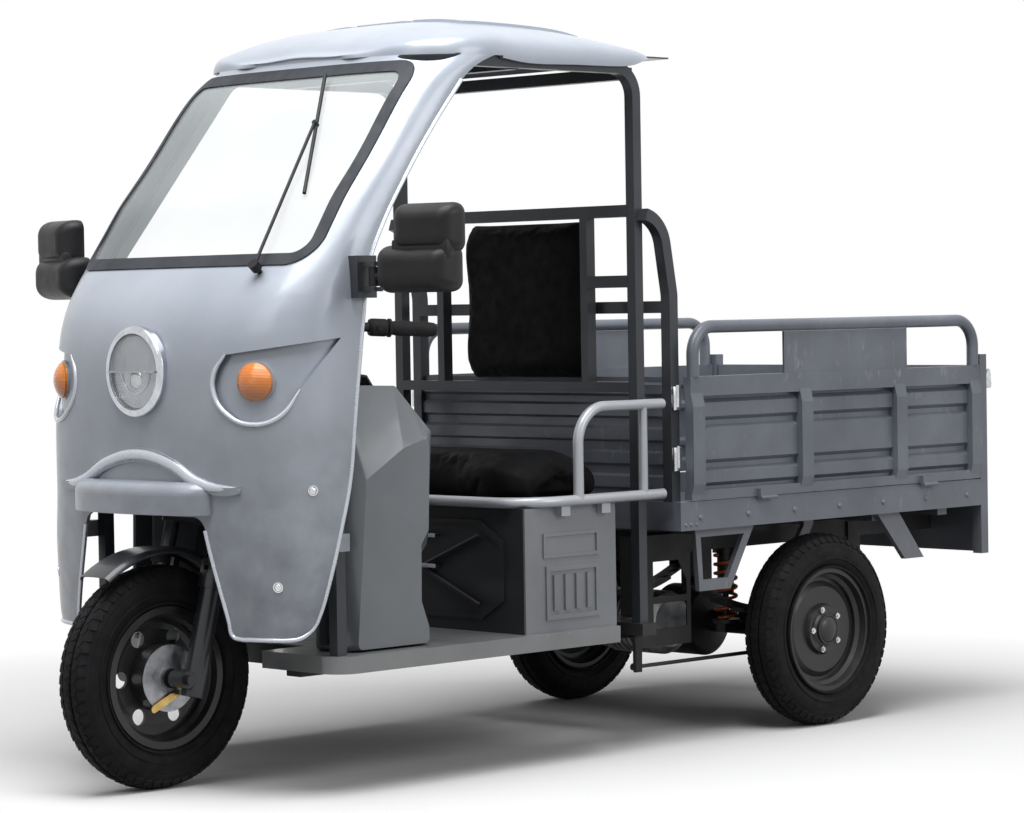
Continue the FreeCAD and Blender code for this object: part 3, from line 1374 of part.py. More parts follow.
def leg_shields():
    """Facetted shields beside the driver's legs, with a ridge across the outer face and a flared foot."""
    full = [(893, 934), (723, 928), (609, 816), (630, 552), (662, 520), (664, 420), (640, 372), (640, 320),
            (905, 320)]
    ridge = [(852, 716), (735, 784), (652, 806), (660, 590), (684, 556), (686, 424), (664, 366), (662, 326),
             (886, 326)]
    layers = ((float(s.shield_inner), full), (float(s.shield_edge), full), (float(s.shield_outer), ridge))
    wires = []
    for y, outline in layers:
        wire = rounded_outline([(-x, z) for x, z in outline], 14, 0.0)
        wire.Placement = Placement(Vector(0, y, 0), Rotation(Vector(0, 0, 1), 90))
        wires.append(wire)
    solid = shape_object("leg_shield_solid", Part.makeLoft(wires, True, True))
    space = [(950, 915), (735, 910), (630, 806), (652, 566), (686, 530), (686, 412), (662, 366), (662, 332),
             (950, 332)]
    depth = s.shield_edge - s.shield_inner - 20
    hollow = put(padded("leg_shield_space", "XZ_Plane", [space], depth), 0, s.shield_edge - 10, 0)
    node("leg_shields", pair("leg_shields", cut("leg_shield_left", solid, hollow)))


def dash_panel():
    """The dash between the leg shields, with a slot for the steering stem."""
    face = [(790, 440), (700, 900), (735, 948), (1000, 990), (1026, 1112)]
    back = [(1022, 1112), (996, 994), (733, 952.5), (695, 902), (785, 440)]
    panel = padded("dash_face", "XZ_Plane", [face + back], s.shield_inner * 2)
    put(panel, 0, s.shield_inner, 0)
    slot = block("dash_slot", (838, 985), (-75, 75), (900, 1050))
    lower_slot = block("dash_low_slot", (760, 830), (-60, 60), (430, 620))
    opened = cut("dash_open", cut("dash_open_low", panel, lower_slot), slot)
    node("dash_panel", opened)


def mirror_case(low_y, high_y, low_z, high_z, x, reach):
    """A rounded case that narrows to the front."""
    wires = []
    for ahead, shrink in ((-36, 0), (reach - 28, 3), (reach - 10, 14), (reach, 36)):
        corners = [(low_y + shrink, low_z + shrink), (high_y - shrink, low_z + shrink),
                   (high_y - shrink, high_z - shrink), (low_y + shrink, high_z - shrink)]
        wires.append(rounded_outline(corners, 24 - shrink * 0.4, x + ahead))
    return Part.makeLoft(wires, True, False)


def mirror(word, side):
    """A tall mirror on an arm: a case in two steps, turned to the driver, and its glass."""
    x, y, z = float(s.mirror_x), float(s.mirror_y), float(s.mirror_z)
    upper = mirror_case(y - 68, y + 100, z - 12, z + 98, x, 28)
    lower = mirror_case(y - 108, y + 92, z - 98, z + 4, x, 40)

    def face(inset, plane):
        left, right, low, high = y - 60 + inset, y + 84 - inset, z - 88 + inset, z + 88 - inset
        return rounded_outline([(left, low), (right, low), (right, high), (left, high)], 20 - inset, plane)
    shell = upper.fuse(lower).cut(forward_prism(face(0, x - 40), x - 30))
    glass = forward_prism(face(0.5, x - 33), x - 30)
    for shape in (shell, glass):
        shape.rotate(Vector(x, y, z), Vector(0, 0, 1), 12)
    arm = Part.makeCylinder(9, y - 80 - 520, Vector(x + 5, 520, z - 62), Vector(0, 1, 0))
    knuckle = Part.makeCylinder(13, 44, Vector(x + 5, 520, z - 84))
    shell = shell.fuse([arm, knuckle]).removeSplitter()
    for label, shape in ((f"mirror_housing_{word}", shell), (f"mirror_glass_{word}", glass)):
        if side < 0:
            shape = shape.mirror(Vector(0, 0, 0), Vector(0, 1, 0))
        node(label, shape_object(label, shape))
    return x + 5, z


def mirror_brackets(fairing, x, z):
    """Brackets on the windshield pillars, with a fork above and below each mirror knuckle."""
    pieces = []
    foot = block("bracket_foot", (x - 32, x + 26), (455, 492), (z - 110, z - 14))
    for number, height in enumerate((z - 96, z - 38.5)):
        pieces.append(block(f"bracket_ear_{number}", (x - 13, x + 13), (480, 534), (height, height + 10)))
    bracket = fused("bracket_weld", [foot] + pieces)
    inside = shape_object("bracket_inside", skin(-float(s.skin_gauge), 120.0))
    outside = cut("bracket_clear", cut("bracket_trim", bracket, fairing), inside)
    node("mirror_brackets", pair("mirror_brackets", outside))


def wiper():
    """An arm with a head on the spindle and a sprung blade, lying just above the glass."""
    spindle, across, up, out = wiper_frame()

    def place(side, along, lift):
        return spindle + across * side + up * along + out * lift

    def bar(radius, start, stop):
        return Part.makeCylinder(radius, (stop - start).Length, start, stop - start)

    head = Part.makeCylinder(13, 20, place(0, 0, 14), out)
    arm = bar(4, place(0, 0, 27), place(-84, 424, 23))
    carrier = bar(4.5, place(6, 222, 15), place(-152, 577, 15))
    bridge = Part.makeCylinder(6, 16, place(-84, 424, 11), out)
    node("wiper", shape_object("wiper", head.fuse([arm, carrier, bridge]).removeSplitter()))
    gearbox = Part.makeBox(60, 80, 60, Vector(-60, -40, -30))
    gearbox.Placement = Placement(spindle - out * 16, Rotation(Vector(1, 0, 0), out))
    shaft = Part.makeCylinder(6, 29.7, spindle - out * 16, out)
    node("wiper_gearbox", shape_object("wiper_gearbox", gearbox.fuse(shaft).removeSplitter()))


# Driver's place

def seat_box():
    """The front panel with its crossed pressing, and side panels with a recess and upright ribs."""
    low, high = s.floor_top, s.seat_panel_top
    half = s.seat_half_width
    gauge = s.seat_panel
    front = block("seat_front_sheet", (s.seat_front - gauge, s.seat_front), (gauge - half, half - gauge),
                  (low, high))
    pressing = padded("seat_pressing", "YZ_Plane", [
        [(-300, 350), (300, 350), (380, 400), (380, 540), (300, 592), (-300, 592), (-380, 540), (-380, 400)],
        [(-280, 362), (280, 362), (362, 408), (362, 532), (280, 580), (-280, 580), (-362, 532), (-362, 408)]], 4)
    put(pressing, s.seat_front, 0, 0)
    handles = [block(f"seat_handle_{number}", (s.seat_front, s.seat_front + 8), (60, 150), (z, z + 8))
               for number, z in enumerate((470, 545))]
    node("seat_box_front", fused("seat_box_front", [front, pressing] + handles))
    inner = half - gauge
    frame = box_corners(s.seat_rear + 62, 350, s.seat_front - 68, 480)
    frame_hole = box_corners(s.seat_rear + 74, 362, s.seat_front - 80, 468)
    upper = box_corners(s.seat_rear + 62, 500, s.seat_front - 60, 560)
    upper_hole = box_corners(s.seat_rear + 70, 508, s.seat_front - 68, 552)
    panel = block("seat_side_sheet", (s.seat_rear, s.seat_front), (inner, half), (low, high))
    raised = put(padded("seat_side_frames", "XZ_Plane", [frame, frame_hole, upper, upper_hole], 4), 0, half + 4, 0)
    ribs = [block(f"seat_rib_{number}", (s.seat_rear + 88 + number * 38, s.seat_rear + 106 + number * 38),
                  (half, half + 5), (372, 458)) for number in range(4)]
    side = fused("seat_side_left", [panel, raised] + ribs)
    node("seat_box_sides", pair("seat_box_sides", side))


def seat_rail():
    """One bent tube round the seat, with an armrest loop welded on each side."""
    z = s.seat_tube_z
    y = float(s.seat_tube_y)
    radius = s.seat_tube_radius
    front = float(s.seat_front) + 15
    ring = round_tube("seat_ring", radius, [(-100, y, z), (front, y, z), (front, -y, z), (-100, -y, z)], 120)
    pieces = [ring]
    for word, side in (("left", 1), ("right", -1)):
        loop = [(200, y * side, z), (200, y * side, s.armrest_z), (-100, y * side, s.armrest_z)]
        pieces.append(round_tube(f"armrest_{word}", radius, loop, 90))
        pieces.append(rod(f"armrest_post_{word}", 11, "Z", (-30, y * side, z), s.armrest_z - z))
        for number, x in enumerate((90, 230)):
            pieces.append(block(f"rail_tab_{word}_{number}", (x, x + 30), sided(side, s.seat_half_width, y),
                                (600, z)))
    node("seat_rail", fused("seat_rail", pieces))


def arc_wire(points):
    """A closed wire of stretches: three places make an arc, two a line."""
    edges = []
    for stretch in points:
        places = [Vector(*[float(number) for number in point]) for point in stretch]
        edges.append(Part.Arc(*places).toShape() if len(places) == 3 else Part.LineSegment(*places).toShape())
    return Part.Wire(edges)


def seat_cushion():
    """A crowned cushion, drawn in at its ends, on a seat board that is hinged at the back."""
    rear, front = float(s.seat_rear) + 6, float(s.seat_front) - 12
    low, top = float(s.cushion_low), float(s.cushion_top)
    half = float(s.seat_half_width) - 24
    wires = []
    for share, height, draw_in in ((-1, 0.62, 44), (-0.93, 0.84, 16), (-0.5, 0.97, 0), (0, 1.0, 0), (0.5, 0.97, 0),
                                   (0.93, 0.84, 16), (1, 0.62, 44)):
        y = half * share
        side_top = low + (top - low) * height * 0.72
        crown = low + (top - low) * height
        a, b = rear + draw_in * 0.4, front - draw_in
        wires.append(arc_wire([
            [(a, y, low), (b, y, low)],
            [(b, y, low), (b + 7, y, (low + side_top) / 2), (b - 4, y, side_top)],
            [(b - 4, y, side_top), ((a + b) / 2, y, crown), (a + 4, y, side_top)],
            [(a + 4, y, side_top), (a - 7, y, (low + side_top) / 2), (a, y, low)]]))
    node("seat_cushion", lofted("seat_cushion", wires))
    board_front = s.seat_front - 4
    half = s.seat_half_width - 12
    outline = [(s.seat_rear, -half), (board_front - 66, -half), (board_front, 68 - half), (board_front, half - 68),
               (board_front - 66, half), (s.seat_rear, half)]
    plank = padded("seat_plank", "XY_Plane", [outline], s.cushion_low - s.seat_panel_top)
    board = put(plank, 0, 0, s.seat_panel_top)
    barrels = [rod(f"seat_barrel_{number}", 8, "Y", (s.seat_rear, y, s.seat_panel_top), 90)
               for number, y in enumerate((-320, 230))]
    node("seat_board", fused("seat_board", [board] + barrels))


def backrest_pad():
    """A flat upholstered pad, crowned to the front and drawn in at top and bottom."""
    back = float(s.bed_front)
    half = float(s.pad_half_width)
    low, top = float(s.pad_low), float(s.pad_top)
    wires = []
    for share, depth, draw_in in ((0, 0.55, 14), (0.06, 0.85, 3), (0.5, 1.0, 0), (0.94, 0.85, 3), (1, 0.55, 14)):
        z = low + (top - low) * share
        side = half - draw_in
        edge = back + 40 * depth
        crown = back + 58 * depth
        wires.append(arc_wire([
            [(back, -side, z), (edge, -side, z)],
            [(edge, -side, z), (crown, 0, z), (edge, side, z)],
            [(edge, side, z), (back, side, z)],
            [(back, side, z), (back, -side, z)]]))
    node("backrest_pad", lofted("backrest_pad", wires))


def battery():
    cells = []
    for number in range(3):
        y = -300 + number * 205
        cells.append(block(f"battery_{number}", (90, 340), (y, y + 195), (s.floor_top, 545)))
    node("battery_pack", group("battery_pack", cells))
    node("motor_controller", block("motor_controller", (100, 300), (325, 430), (s.floor_top, 400)))


tyre("front_tyre", s.front_tyre_radius, s.front_tyre_width, 0, s.front_axle_x)
front_rim()
for word, side in (("left", 1), ("right", -1)):
    tyre(f"rear_tyre_{word}", s.rear_tyre_radius, s.rear_tyre_width, s.half_track * side, s.rear_axle_x)
    rear_rim(f"rear_rim_{word}", side)
    side_panel(word, side)
    tail_latch(word, side)
steering_yoke()
fork_sliders()
front_fender()
front_brake()
grips(handlebar())
chassis_frame()
floor_pan()
steering_head()
axle_housing()
drive_motor()
leaf_springs()
shock_springs()
hand_brake()
brake_pedal()
bed_frame()
bed_floor()
bed_front_wall()
tailgate()
rear_lamps()
fairing_object = cab_front()
headlight(fairing_object)
roof_shell()
cab_frame()
guard_bars()
leg_shields()
dash_panel()
for word, side in (("left", 1), ("right", -1)):
    arm_x, arm_z = mirror(word, side)
mirror_brackets(fairing_object, arm_x, arm_z)
wiper()
seat_box()
seat_rail()
seat_cushion()
backrest_pad()
battery()
doc.recompute()

failed = [thing.Label for thing in doc.Objects if {"Invalid", "Error"} & set(thing.State)]
for piece in nodes:
    if piece.Shape.isNull() or not piece.Shape.isValid() or not piece.Shape.Solids:
        failed.append(f"{piece.Label} shape")
if failed:
    raise SystemExit(f"not built: {failed}")

os.makedirs("parts", exist_ok=True)
for piece in nodes:
    piece.Shape.exportStep(os.path.join("parts", f"{piece.Label}.step"))
print(len(nodes), "nodes")
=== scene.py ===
import math

import bmesh
import bpy
from mathutils import Matrix, Vector


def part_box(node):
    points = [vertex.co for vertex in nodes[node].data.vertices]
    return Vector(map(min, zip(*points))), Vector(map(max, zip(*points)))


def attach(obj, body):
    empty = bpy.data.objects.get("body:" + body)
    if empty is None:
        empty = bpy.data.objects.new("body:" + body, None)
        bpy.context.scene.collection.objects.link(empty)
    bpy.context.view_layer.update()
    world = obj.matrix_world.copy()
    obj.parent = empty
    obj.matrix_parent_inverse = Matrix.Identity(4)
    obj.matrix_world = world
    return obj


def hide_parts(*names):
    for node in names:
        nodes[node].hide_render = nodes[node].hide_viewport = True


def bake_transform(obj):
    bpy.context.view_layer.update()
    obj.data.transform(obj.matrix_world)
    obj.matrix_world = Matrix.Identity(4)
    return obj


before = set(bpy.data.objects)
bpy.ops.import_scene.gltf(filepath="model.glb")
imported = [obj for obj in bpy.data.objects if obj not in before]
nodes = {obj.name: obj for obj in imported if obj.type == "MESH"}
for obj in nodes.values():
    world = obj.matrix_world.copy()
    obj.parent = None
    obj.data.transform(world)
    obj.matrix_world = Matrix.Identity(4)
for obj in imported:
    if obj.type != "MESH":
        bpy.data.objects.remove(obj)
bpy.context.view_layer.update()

SIDES = (("left", 1), ("right", -1))
MIDDLE = (0.3, 0.7)  # where most of a noise texture's values lie
SAME_PLACE = 1e-5  # corners this near each other are one
SHARP_EDGE = math.radians(38)
REAR_AXLE_X = -0.7


def screen(red, green, blue):
    """A colour given as it looks on a screen, 0 to 255, in the values that a shader wants."""
    def straight(value):
        value /= 255
        return value / 12.92 if value <= 0.04045 else ((value + 0.055) / 1.055) ** 2.4
    return straight(red), straight(green), straight(blue), 1.0


class Finish:
    """A material in the making: a shader, with what varies over the piece laid on it."""

    def __init__(self, name, **values):
        self.look = bpy.data.materials.new(name)
        self.look.use_nodes = True
        self.tree = self.look.node_tree
        self.shader = self.tree.nodes["Principled BSDF"]
        self.place = self.add("ShaderNodeTexCoord").outputs["Object"]
        self.normal = None
        for socket, value in values.items():
            self.shader.inputs[socket.replace("_", " ")].default_value = value

    def add(self, kind, **values):
        made = self.tree.nodes.new(kind)
        for socket, value in values.items():
            made.inputs[socket].default_value = value
        return made

    def join(self, output, socket):
        self.tree.links.new(output, socket)

    def speckle(self, scale, detail=3.0, stretch=(1.0, 1.0, 1.0)):
        """Uneven light and dark, from 0 to 1."""
        mapping = self.add("ShaderNodeMapping", Scale=stretch)
        texture = self.add("ShaderNodeTexNoise", Scale=scale, Detail=detail)
        self.join(self.place, mapping.inputs["Vector"])
        self.join(mapping.outputs["Vector"], texture.inputs["Vector"])
        return texture.outputs["Fac"]

    def cells(self, scale):
        """Small rounded cells, dark in the middle."""
        texture = self.add("ShaderNodeTexVoronoi", Scale=scale)
        self.join(self.place, texture.inputs["Vector"])
        return texture.outputs["Distance"]

    def bands(self, scale, direction="X"):
        """Even ribs that follow each other in one direction."""
        texture = self.add("ShaderNodeTexWave", Scale=scale)
        texture.bands_direction = direction
        self.join(self.place, texture.inputs["Vector"])
        return texture.outputs["Fac"]

    def height(self):
        """How high a place lies above the ground."""
        parts = self.add("ShaderNodeSeparateXYZ")
        self.join(self.place, parts.inputs[0])
        return parts.outputs["Z"]

    def ranged(self, value, start, stop, low, high):
        """A value that goes from low to high while another goes from start to stop."""
        span = self.add("ShaderNodeMapRange")
        for number, setting in enumerate((start, stop, low, high), 1):
            span.inputs[number].default_value = setting
        self.join(value, span.inputs[0])
        return span.outputs[0]

    def spread(self, value, start=MIDDLE[0], stop=MIDDLE[1]):
        """Stretches the values between start and stop over the whole range from 0 to 1."""
        return self.ranged(value, start, stop, 0.0, 1.0)

    def product(self, first, second):
        times = self.add("ShaderNodeMath")
        times.operation = "MULTIPLY"
        self.join(first, times.inputs[0])
        self.join(second, times.inputs[1])
        return times.outputs[0]

    def mixed(self, factor, first, second):
        """A colour between two others, each a set colour or what another node gives."""
        mix = self.add("ShaderNodeMix")
        mix.data_type = "RGBA"
        self.join(factor, mix.inputs["Factor"])
        for socket, colour in ((mix.inputs[6], first), (mix.inputs[7], second)):
            if isinstance(colour, tuple):
                socket.default_value = colour
            else:
                self.join(colour, socket)
        return mix.outputs[2]

    def base(self, colour):
        self.join(colour, self.shader.inputs["Base Color"])

    def rough(self, value, low, high):
        self.join(self.ranged(value, *MIDDLE, low, high), self.shader.inputs["Roughness"])

    def raised(self, value, strength, depth):
        """Fine relief; a second one lies on top of the first."""
        bump = self.add("ShaderNodeBump", Strength=strength, Distance=depth)
        self.join(value, bump.inputs["Height"])
        if self.normal:
            self.join(self.normal, bump.inputs["Normal"])
        self.normal = bump.outputs["Normal"]
        self.join(self.normal, self.shader.inputs["Normal"])


def painted(name, dark, light, rough, metallic=0.0, coat=0.0, flake=0.0, wear=None, dust_and_shade=None, shine=0.5,
            film=(0.2, 0.75, 0.45)):
    """Paint with a soft cloudiness, metal flake, scuffs and a band of another colour low down, where asked.

    The band is road dust on most pieces and painted shade on the shell. It is full below film's first
    height, gone above its second, and as dense as its third value.
    """
    made = Finish(name, Metallic=metallic, Coat_Weight=coat, Coat_Roughness=0.12, Specular_IOR_Level=shine)
    cloud = made.speckle(5.0, 4.0)
    colour = made.mixed(made.spread(cloud), screen(*dark), screen(*light))
    if wear:
        scuff = made.ranged(made.speckle(55.0, 6.0, (1.0, 1.0, 0.35)), 0.62, 0.74, 0.0, 0.5)
        patch = made.spread(made.speckle(3.0), 0.45, 0.6)
        colour = made.mixed(made.product(scuff, patch), colour, screen(*wear))
    # The band low down: road dust on most pieces, painted shade on the shell (a dark grey toward the
    # bottom).
    if dust_and_shade:
        start, stop, most = film
        low = made.ranged(made.height(), start, stop, most, 0.0)
        colour = made.mixed(made.product(low, made.speckle(14.0, 5.0)), colour, screen(*dust_and_shade))
    made.base(colour)
    made.rough(made.speckle(24.0), rough * 0.85, rough * 1.15)
    made.raised(made.speckle(38.0, 2.0), 0.05, 0.002)
    if flake:
        made.raised(made.cells(1800.0), flake, 0.0003)
    return made.look


def moulded(name, dark, light, rough, pebble=900.0):
    """Moulded plastic or rubber with a fine pebbled face."""
    made = Finish(name, Specular_IOR_Level=0.25)
    cloud = made.spread(made.speckle(9.0, 4.0))
    made.base(made.mixed(cloud, screen(*dark), screen(*light)))
    made.rough(made.speckle(30.0), rough * 0.85, rough * 1.15)
    made.raised(made.cells(pebble), 0.18, 0.0006)
    return made.look


def bare_metal(name, dark, light, rough):
    """Plated or cast metal."""
    made = Finish(name, Metallic=1.0)
    cloud = made.spread(made.speckle(40.0, 5.0))
    made.base(made.mixed(cloud, screen(*dark), screen(*light)))
    made.rough(made.speckle(60.0, 4.0), rough * 0.7, rough * 1.3)
    made.raised(made.speckle(500.0, 3.0), 0.08, 0.0005)
    return made.look


def tyre_rubber():
    """Black rubber, greyed by the road where it meets the ground."""
    made = Finish("tyre_rubber", Specular_IOR_Level=0.15)
    cloud = made.spread(made.speckle(16.0, 5.0), 0.35)
    colour = made.mixed(cloud, screen(19, 19, 21), screen(32, 32, 34))
    made.base(made.mixed(made.ranged(made.height(), 0.0, 0.05, 0.35, 0.0), colour, screen(84, 82, 78)))
    made.rough(made.speckle(50.0), 0.62, 0.8)
    made.raised(made.speckle(700.0), 0.25, 0.0008)
    return made.look


def roof_paint():
    """The shell's silver, with the thin lip at the back left dark."""
    lip_start = -0.0925
    look = painted("roof_silver", (158, 166, 178), (170, 177, 188), rough=0.34, metallic=0.12, coat=0.35,
                   flake=0.06)
    tree = look.node_tree
    shader = tree.nodes["Principled BSDF"]
    parts = tree.nodes.new("ShaderNodeSeparateXYZ")
    tree.links.new(tree.nodes["Texture Coordinate"].outputs["Object"], parts.inputs[0])
    behind = tree.nodes.new("ShaderNodeMath")
    behind.operation = "LESS_THAN"
    behind.inputs[1].default_value = lip_start
    tree.links.new(parts.outputs["X"], behind.inputs[0])
    mix = tree.nodes.new("ShaderNodeMix")
    mix.data_type = "RGBA"
    mix.inputs[7].default_value = screen(44, 45, 48)
    tree.links.new(behind.outputs[0], mix.inputs["Factor"])
    tree.links.new(shader.inputs["Base Color"].links[0].from_socket, mix.inputs[6])
    tree.links.new(mix.outputs[2], shader.inputs["Base Color"])
    return look


def clear_glass():
    """The windshield's glass, a little smeared and denser toward the top."""
    sill, top = 1.24, 1.68
    made = Finish("cab_glass", Alpha=0.2, Roughness=0.03, IOR=1.5)
    smear = made.spread(made.speckle(3.0, 5.0, (1.0, 1.0, 0.4)), 0.4, 0.8)
    made.base(made.mixed(smear, screen(214, 222, 224), screen(236, 240, 240)))
    made.join(made.ranged(made.height(), sill, top, 0.16, 0.3), made.shader.inputs["Alpha"])
    return made.look


def lamp_glass():
    """The headlight's glass: fluted, and denser above the middle than below."""
    middle, line = 0.971, 0.0005
    made = Finish("lamp_glass", Roughness=0.08)
    above = made.spread(made.height(), middle - line, middle + line)
    made.base(made.mixed(above, screen(240, 242, 244), screen(222, 226, 230)))
    made.join(made.ranged(above, 0.0, 1.0, 0.25, 0.45), made.shader.inputs["Alpha"])
    made.raised(made.bands(60.0, "Y"), 0.35, 0.003)
    return made.look


def signal_amber():
    """Amber plastic with level ribs."""
    made = Finish("signal_amber", Roughness=0.16, Coat_Weight=0.6, Subsurface_Weight=0.2)
    ribs = made.bands(95.0, "Z")
    made.base(made.mixed(ribs, screen(236, 110, 16), screen(255, 160, 46)))
    made.raised(ribs, 0.35, 0.002)
    return made.look


def tail_red():
    """Red plastic with a pattern of small cells."""
    made = Finish("tail_red", Roughness=0.18, Coat_Weight=0.6)
    cells = made.cells(170.0)
    made.base(made.mixed(cells, screen(176, 14, 14), screen(226, 44, 34)))
    made.raised(cells, 0.3, 0.002)
    return made.look


def mirror_silver():
    """Silvered glass under a thin film."""
    made = Finish("mirror_silver", Metallic=1.0)
    film = made.spread(made.speckle(30.0, 5.0), 0.4)
    made.base(made.mixed(film, screen(222, 226, 230), screen(238, 240, 243)))
    made.rough(film, 0.02, 0.07)
    return made.look


def seat_cover():
    """Black grained cover cloth."""
    made = Finish("seat_cover", Specular_IOR_Level=0.08)
    cloud = made.spread(made.speckle(12.0, 5.0), 0.35)
    made.base(made.mixed(cloud, screen(7, 7, 8), screen(16, 16, 18)))
    made.rough(made.speckle(40.0), 0.5, 0.7)
    made.raised(made.speckle(34.0, 3.0), 0.25, 0.004)
    made.raised(made.cells(600.0), 0.3, 0.0008)
    return made.look


def tread_plate():
    """The load floor: paint over a pattern of short raised bars."""
    made = Finish("tread_plate", Metallic=0.2)
    cloud = made.spread(made.speckle(4.0, 6.0))
    worn = made.ranged(made.speckle(18.0, 6.0), 0.56, 0.68, 0.0, 0.7)
    paint = made.mixed(cloud, screen(70, 73, 79), screen(94, 97, 103))
    made.base(made.mixed(worn, paint, screen(140, 141, 142)))
    made.rough(made.speckle(30.0), 0.35, 0.55)
    bars = made.product(made.bands(14.0, "X"), made.bands(14.0, "Y"))
    made.raised(bars, 0.5, 0.003)
    return made.look


# The shell's band low down is painted shade: a dark grey (80, 80, 80), thickest at the bottom and gone by
# 1.04 m, darkens the fairing as if it reflected dark ground.
SHELL = painted("shell_silver", (162, 170, 182), (174, 181, 192), rough=0.34, metallic=0.12, coat=0.35,
                flake=0.06, dust_and_shade=(80, 80, 80), film=(0.42, 1.04, 1.0))
ROOF = roof_paint()
# Painted shade: the leg shields' silver is a darker copy of the shell's, for the shade inside the leg
# space.
SHADED_SHIELD = painted("shield_silver_shaded", (104, 109, 114), (118, 123, 128), rough=0.36, metallic=0.12, coat=0.3,
                 flake=0.06, dust_and_shade=(100, 98, 95))
# Painted highlight: a lighter, shinier copy of the shell's silver for the rolled beads, so they read as
# lit.
PAINTED_HIGHLIGHT = painted("shell_painted_highlight", (192, 197, 206), (206, 210, 218), rough=0.26, metallic=0.4, coat=0.5,
                 flake=0.05)
TUBE = painted("tube_grey", (54, 57, 61), (66, 69, 74), rough=0.4, metallic=0.15, coat=0.15, shine=0.3)
BED = painted("bed_grey", (94, 99, 108), (116, 121, 131), rough=0.44, metallic=0.12, coat=0.15,
              wear=(160, 160, 160), dust_and_shade=(120, 118, 112))
RAIL = painted("seat_rail_grey", (172, 175, 181), (188, 191, 196), rough=0.38, metallic=0.2, coat=0.3)
SILL = painted("floor_grey", (112, 115, 118), (132, 134, 137), rough=0.4, metallic=0.3, coat=0.3,
               wear=(165, 165, 163), dust_and_shade=(140, 138, 132))
PANEL = painted("seat_side_grey", (112, 115, 120), (130, 133, 138), rough=0.42, metallic=0.2, coat=0.2)
BLACK_PANEL = painted("seat_front_black", (32, 33, 36), (46, 47, 51), rough=0.45, coat=0.1, shine=0.3)
BLACK_STEEL = painted("chassis_black", (28, 29, 31), (42, 43, 46), rough=0.5, metallic=0.1, coat=0.05,
                      wear=(84, 82, 80), dust_and_shade=(88, 85, 80), shine=0.25)
WHEEL = painted("wheel_black", (30, 31, 33), (44, 45, 48), rough=0.4, metallic=0.15, coat=0.2,
                dust_and_shade=(84, 82, 79), shine=0.3)
FORK = painted("fork_grey", (40, 42, 46), (54, 56, 60), rough=0.34, metallic=0.3, coat=0.3, shine=0.4)
ORANGE = painted("spring_orange", (214, 84, 22), (234, 104, 34), rough=0.4, coat=0.3, dust_and_shade=(150, 110, 80))
BLACK_PLASTIC = moulded("black_plastic", (20, 20, 22), (34, 34, 36), rough=0.42)
DASH = moulded("dash_plastic", (46, 48, 52), (60, 62, 66), rough=0.55, pebble=700.0)
RUBBER = moulded("soft_rubber", (30, 30, 32), (42, 42, 44), rough=0.7, pebble=500.0)
GASKET = moulded("gasket_rubber", (44, 47, 52), (56, 59, 65), rough=0.6, pebble=700.0)
GREY_CASE = moulded("battery_case", (62, 66, 72), (78, 82, 88), rough=0.5, pebble=500.0)
CAST = bare_metal("cast_alloy", (140, 142, 146), (172, 174, 178), rough=0.42)
PLATED = bare_metal("plated_steel", (176, 178, 182), (214, 216, 218), rough=0.22)
BRASS = bare_metal("brass_plated", (178, 146, 84), (206, 176, 112), rough=0.3)
CHROME = bare_metal("chrome", (186, 190, 196), (206, 209, 214), rough=0.12)
TYRE = tyre_rubber()
GLASS = clear_glass()
LAMP = lamp_glass()
AMBER = signal_amber()
RED = tail_red()
MIRROR = mirror_silver()
COVER = seat_cover()
PLATE = tread_plate()

NODE_FINISH = {
    SHELL: ["front_fairing"],
    SHADED_SHIELD: ["leg_shields"],
    ROOF: ["roof_shell"],
    TUBE: ["cab_frame", "rear_guard", "mirror_brackets"],
    BED: ["bed_frame", "bed_front_wall", "side_panel_left", "side_panel_right", "tailgate"],
    PLATE: ["bed_floor"],
    RAIL: ["seat_rail"],
    SILL: ["floor_pan"],
    PANEL: ["seat_box_sides"],
    BLACK_PANEL: ["seat_box_front", "seat_board", "handlebar"],
    BLACK_STEEL: ["chassis_frame", "axle_housing", "steering_head", "leaf_springs", "brake_rod",
                  "brake_pedal"],
    WHEEL: ["front_rim", "rear_rim_left", "rear_rim_right"],
    FORK: ["steering_yoke", "fork_sliders", "front_fender"],
    ORANGE: ["shock_springs"],
    BLACK_PLASTIC: ["mirror_housing_left", "mirror_housing_right", "wiper", "hand_brake_lever",
                    "wiper_gearbox"],
    DASH: ["dash_panel"],
    RUBBER: ["bar_controls", "throttle_grip"],
    GASKET: ["windshield_seal"],
    GREY_CASE: ["battery_pack"],
    CAST: ["drive_motor", "motor_controller", "front_brake_plate", "front_brake_lever"],
    PLATED: ["tail_latch_left", "tail_latch_right"],
    BRASS: ["front_brake_arm"],
    CHROME: ["headlight_bowl"],
    TYRE: ["front_tyre", "rear_tyre_left", "rear_tyre_right"],
    GLASS: ["windshield"],
    LAMP: ["headlight_lens"],
    AMBER: ["turn_signal_lenses"],
    RED: ["tail_lamps"],
    MIRROR: ["mirror_glass_left", "mirror_glass_right"],
    COVER: ["seat_cushion", "backrest_pad"],
}
for finish, names in NODE_FINISH.items():
    for name in names:
        nodes[name].data.materials.clear()
        nodes[name].data.materials.append(finish)


def added(name, data):
    """A new object in the scene."""
    made = bpy.data.objects.new(name, data)
    bpy.context.scene.collection.objects.link(made)
    return made


def piece(name, work, finish, body, smooth=True):
    """A finished piece: outward faces, its finish, and the body that it moves with, if it keeps to one."""
    bmesh.ops.recalc_face_normals(work, faces=work.faces)
    mesh = bpy.data.meshes.new(name)
    work.to_mesh(mesh)
    work.free()
    if smooth:
        mesh.shade_smooth()
        mesh.set_sharp_from_angle(angle=SHARP_EDGE)
    made = added(name, mesh)
    mesh.materials.append(finish)
    if body:
        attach(made, body)
    return made


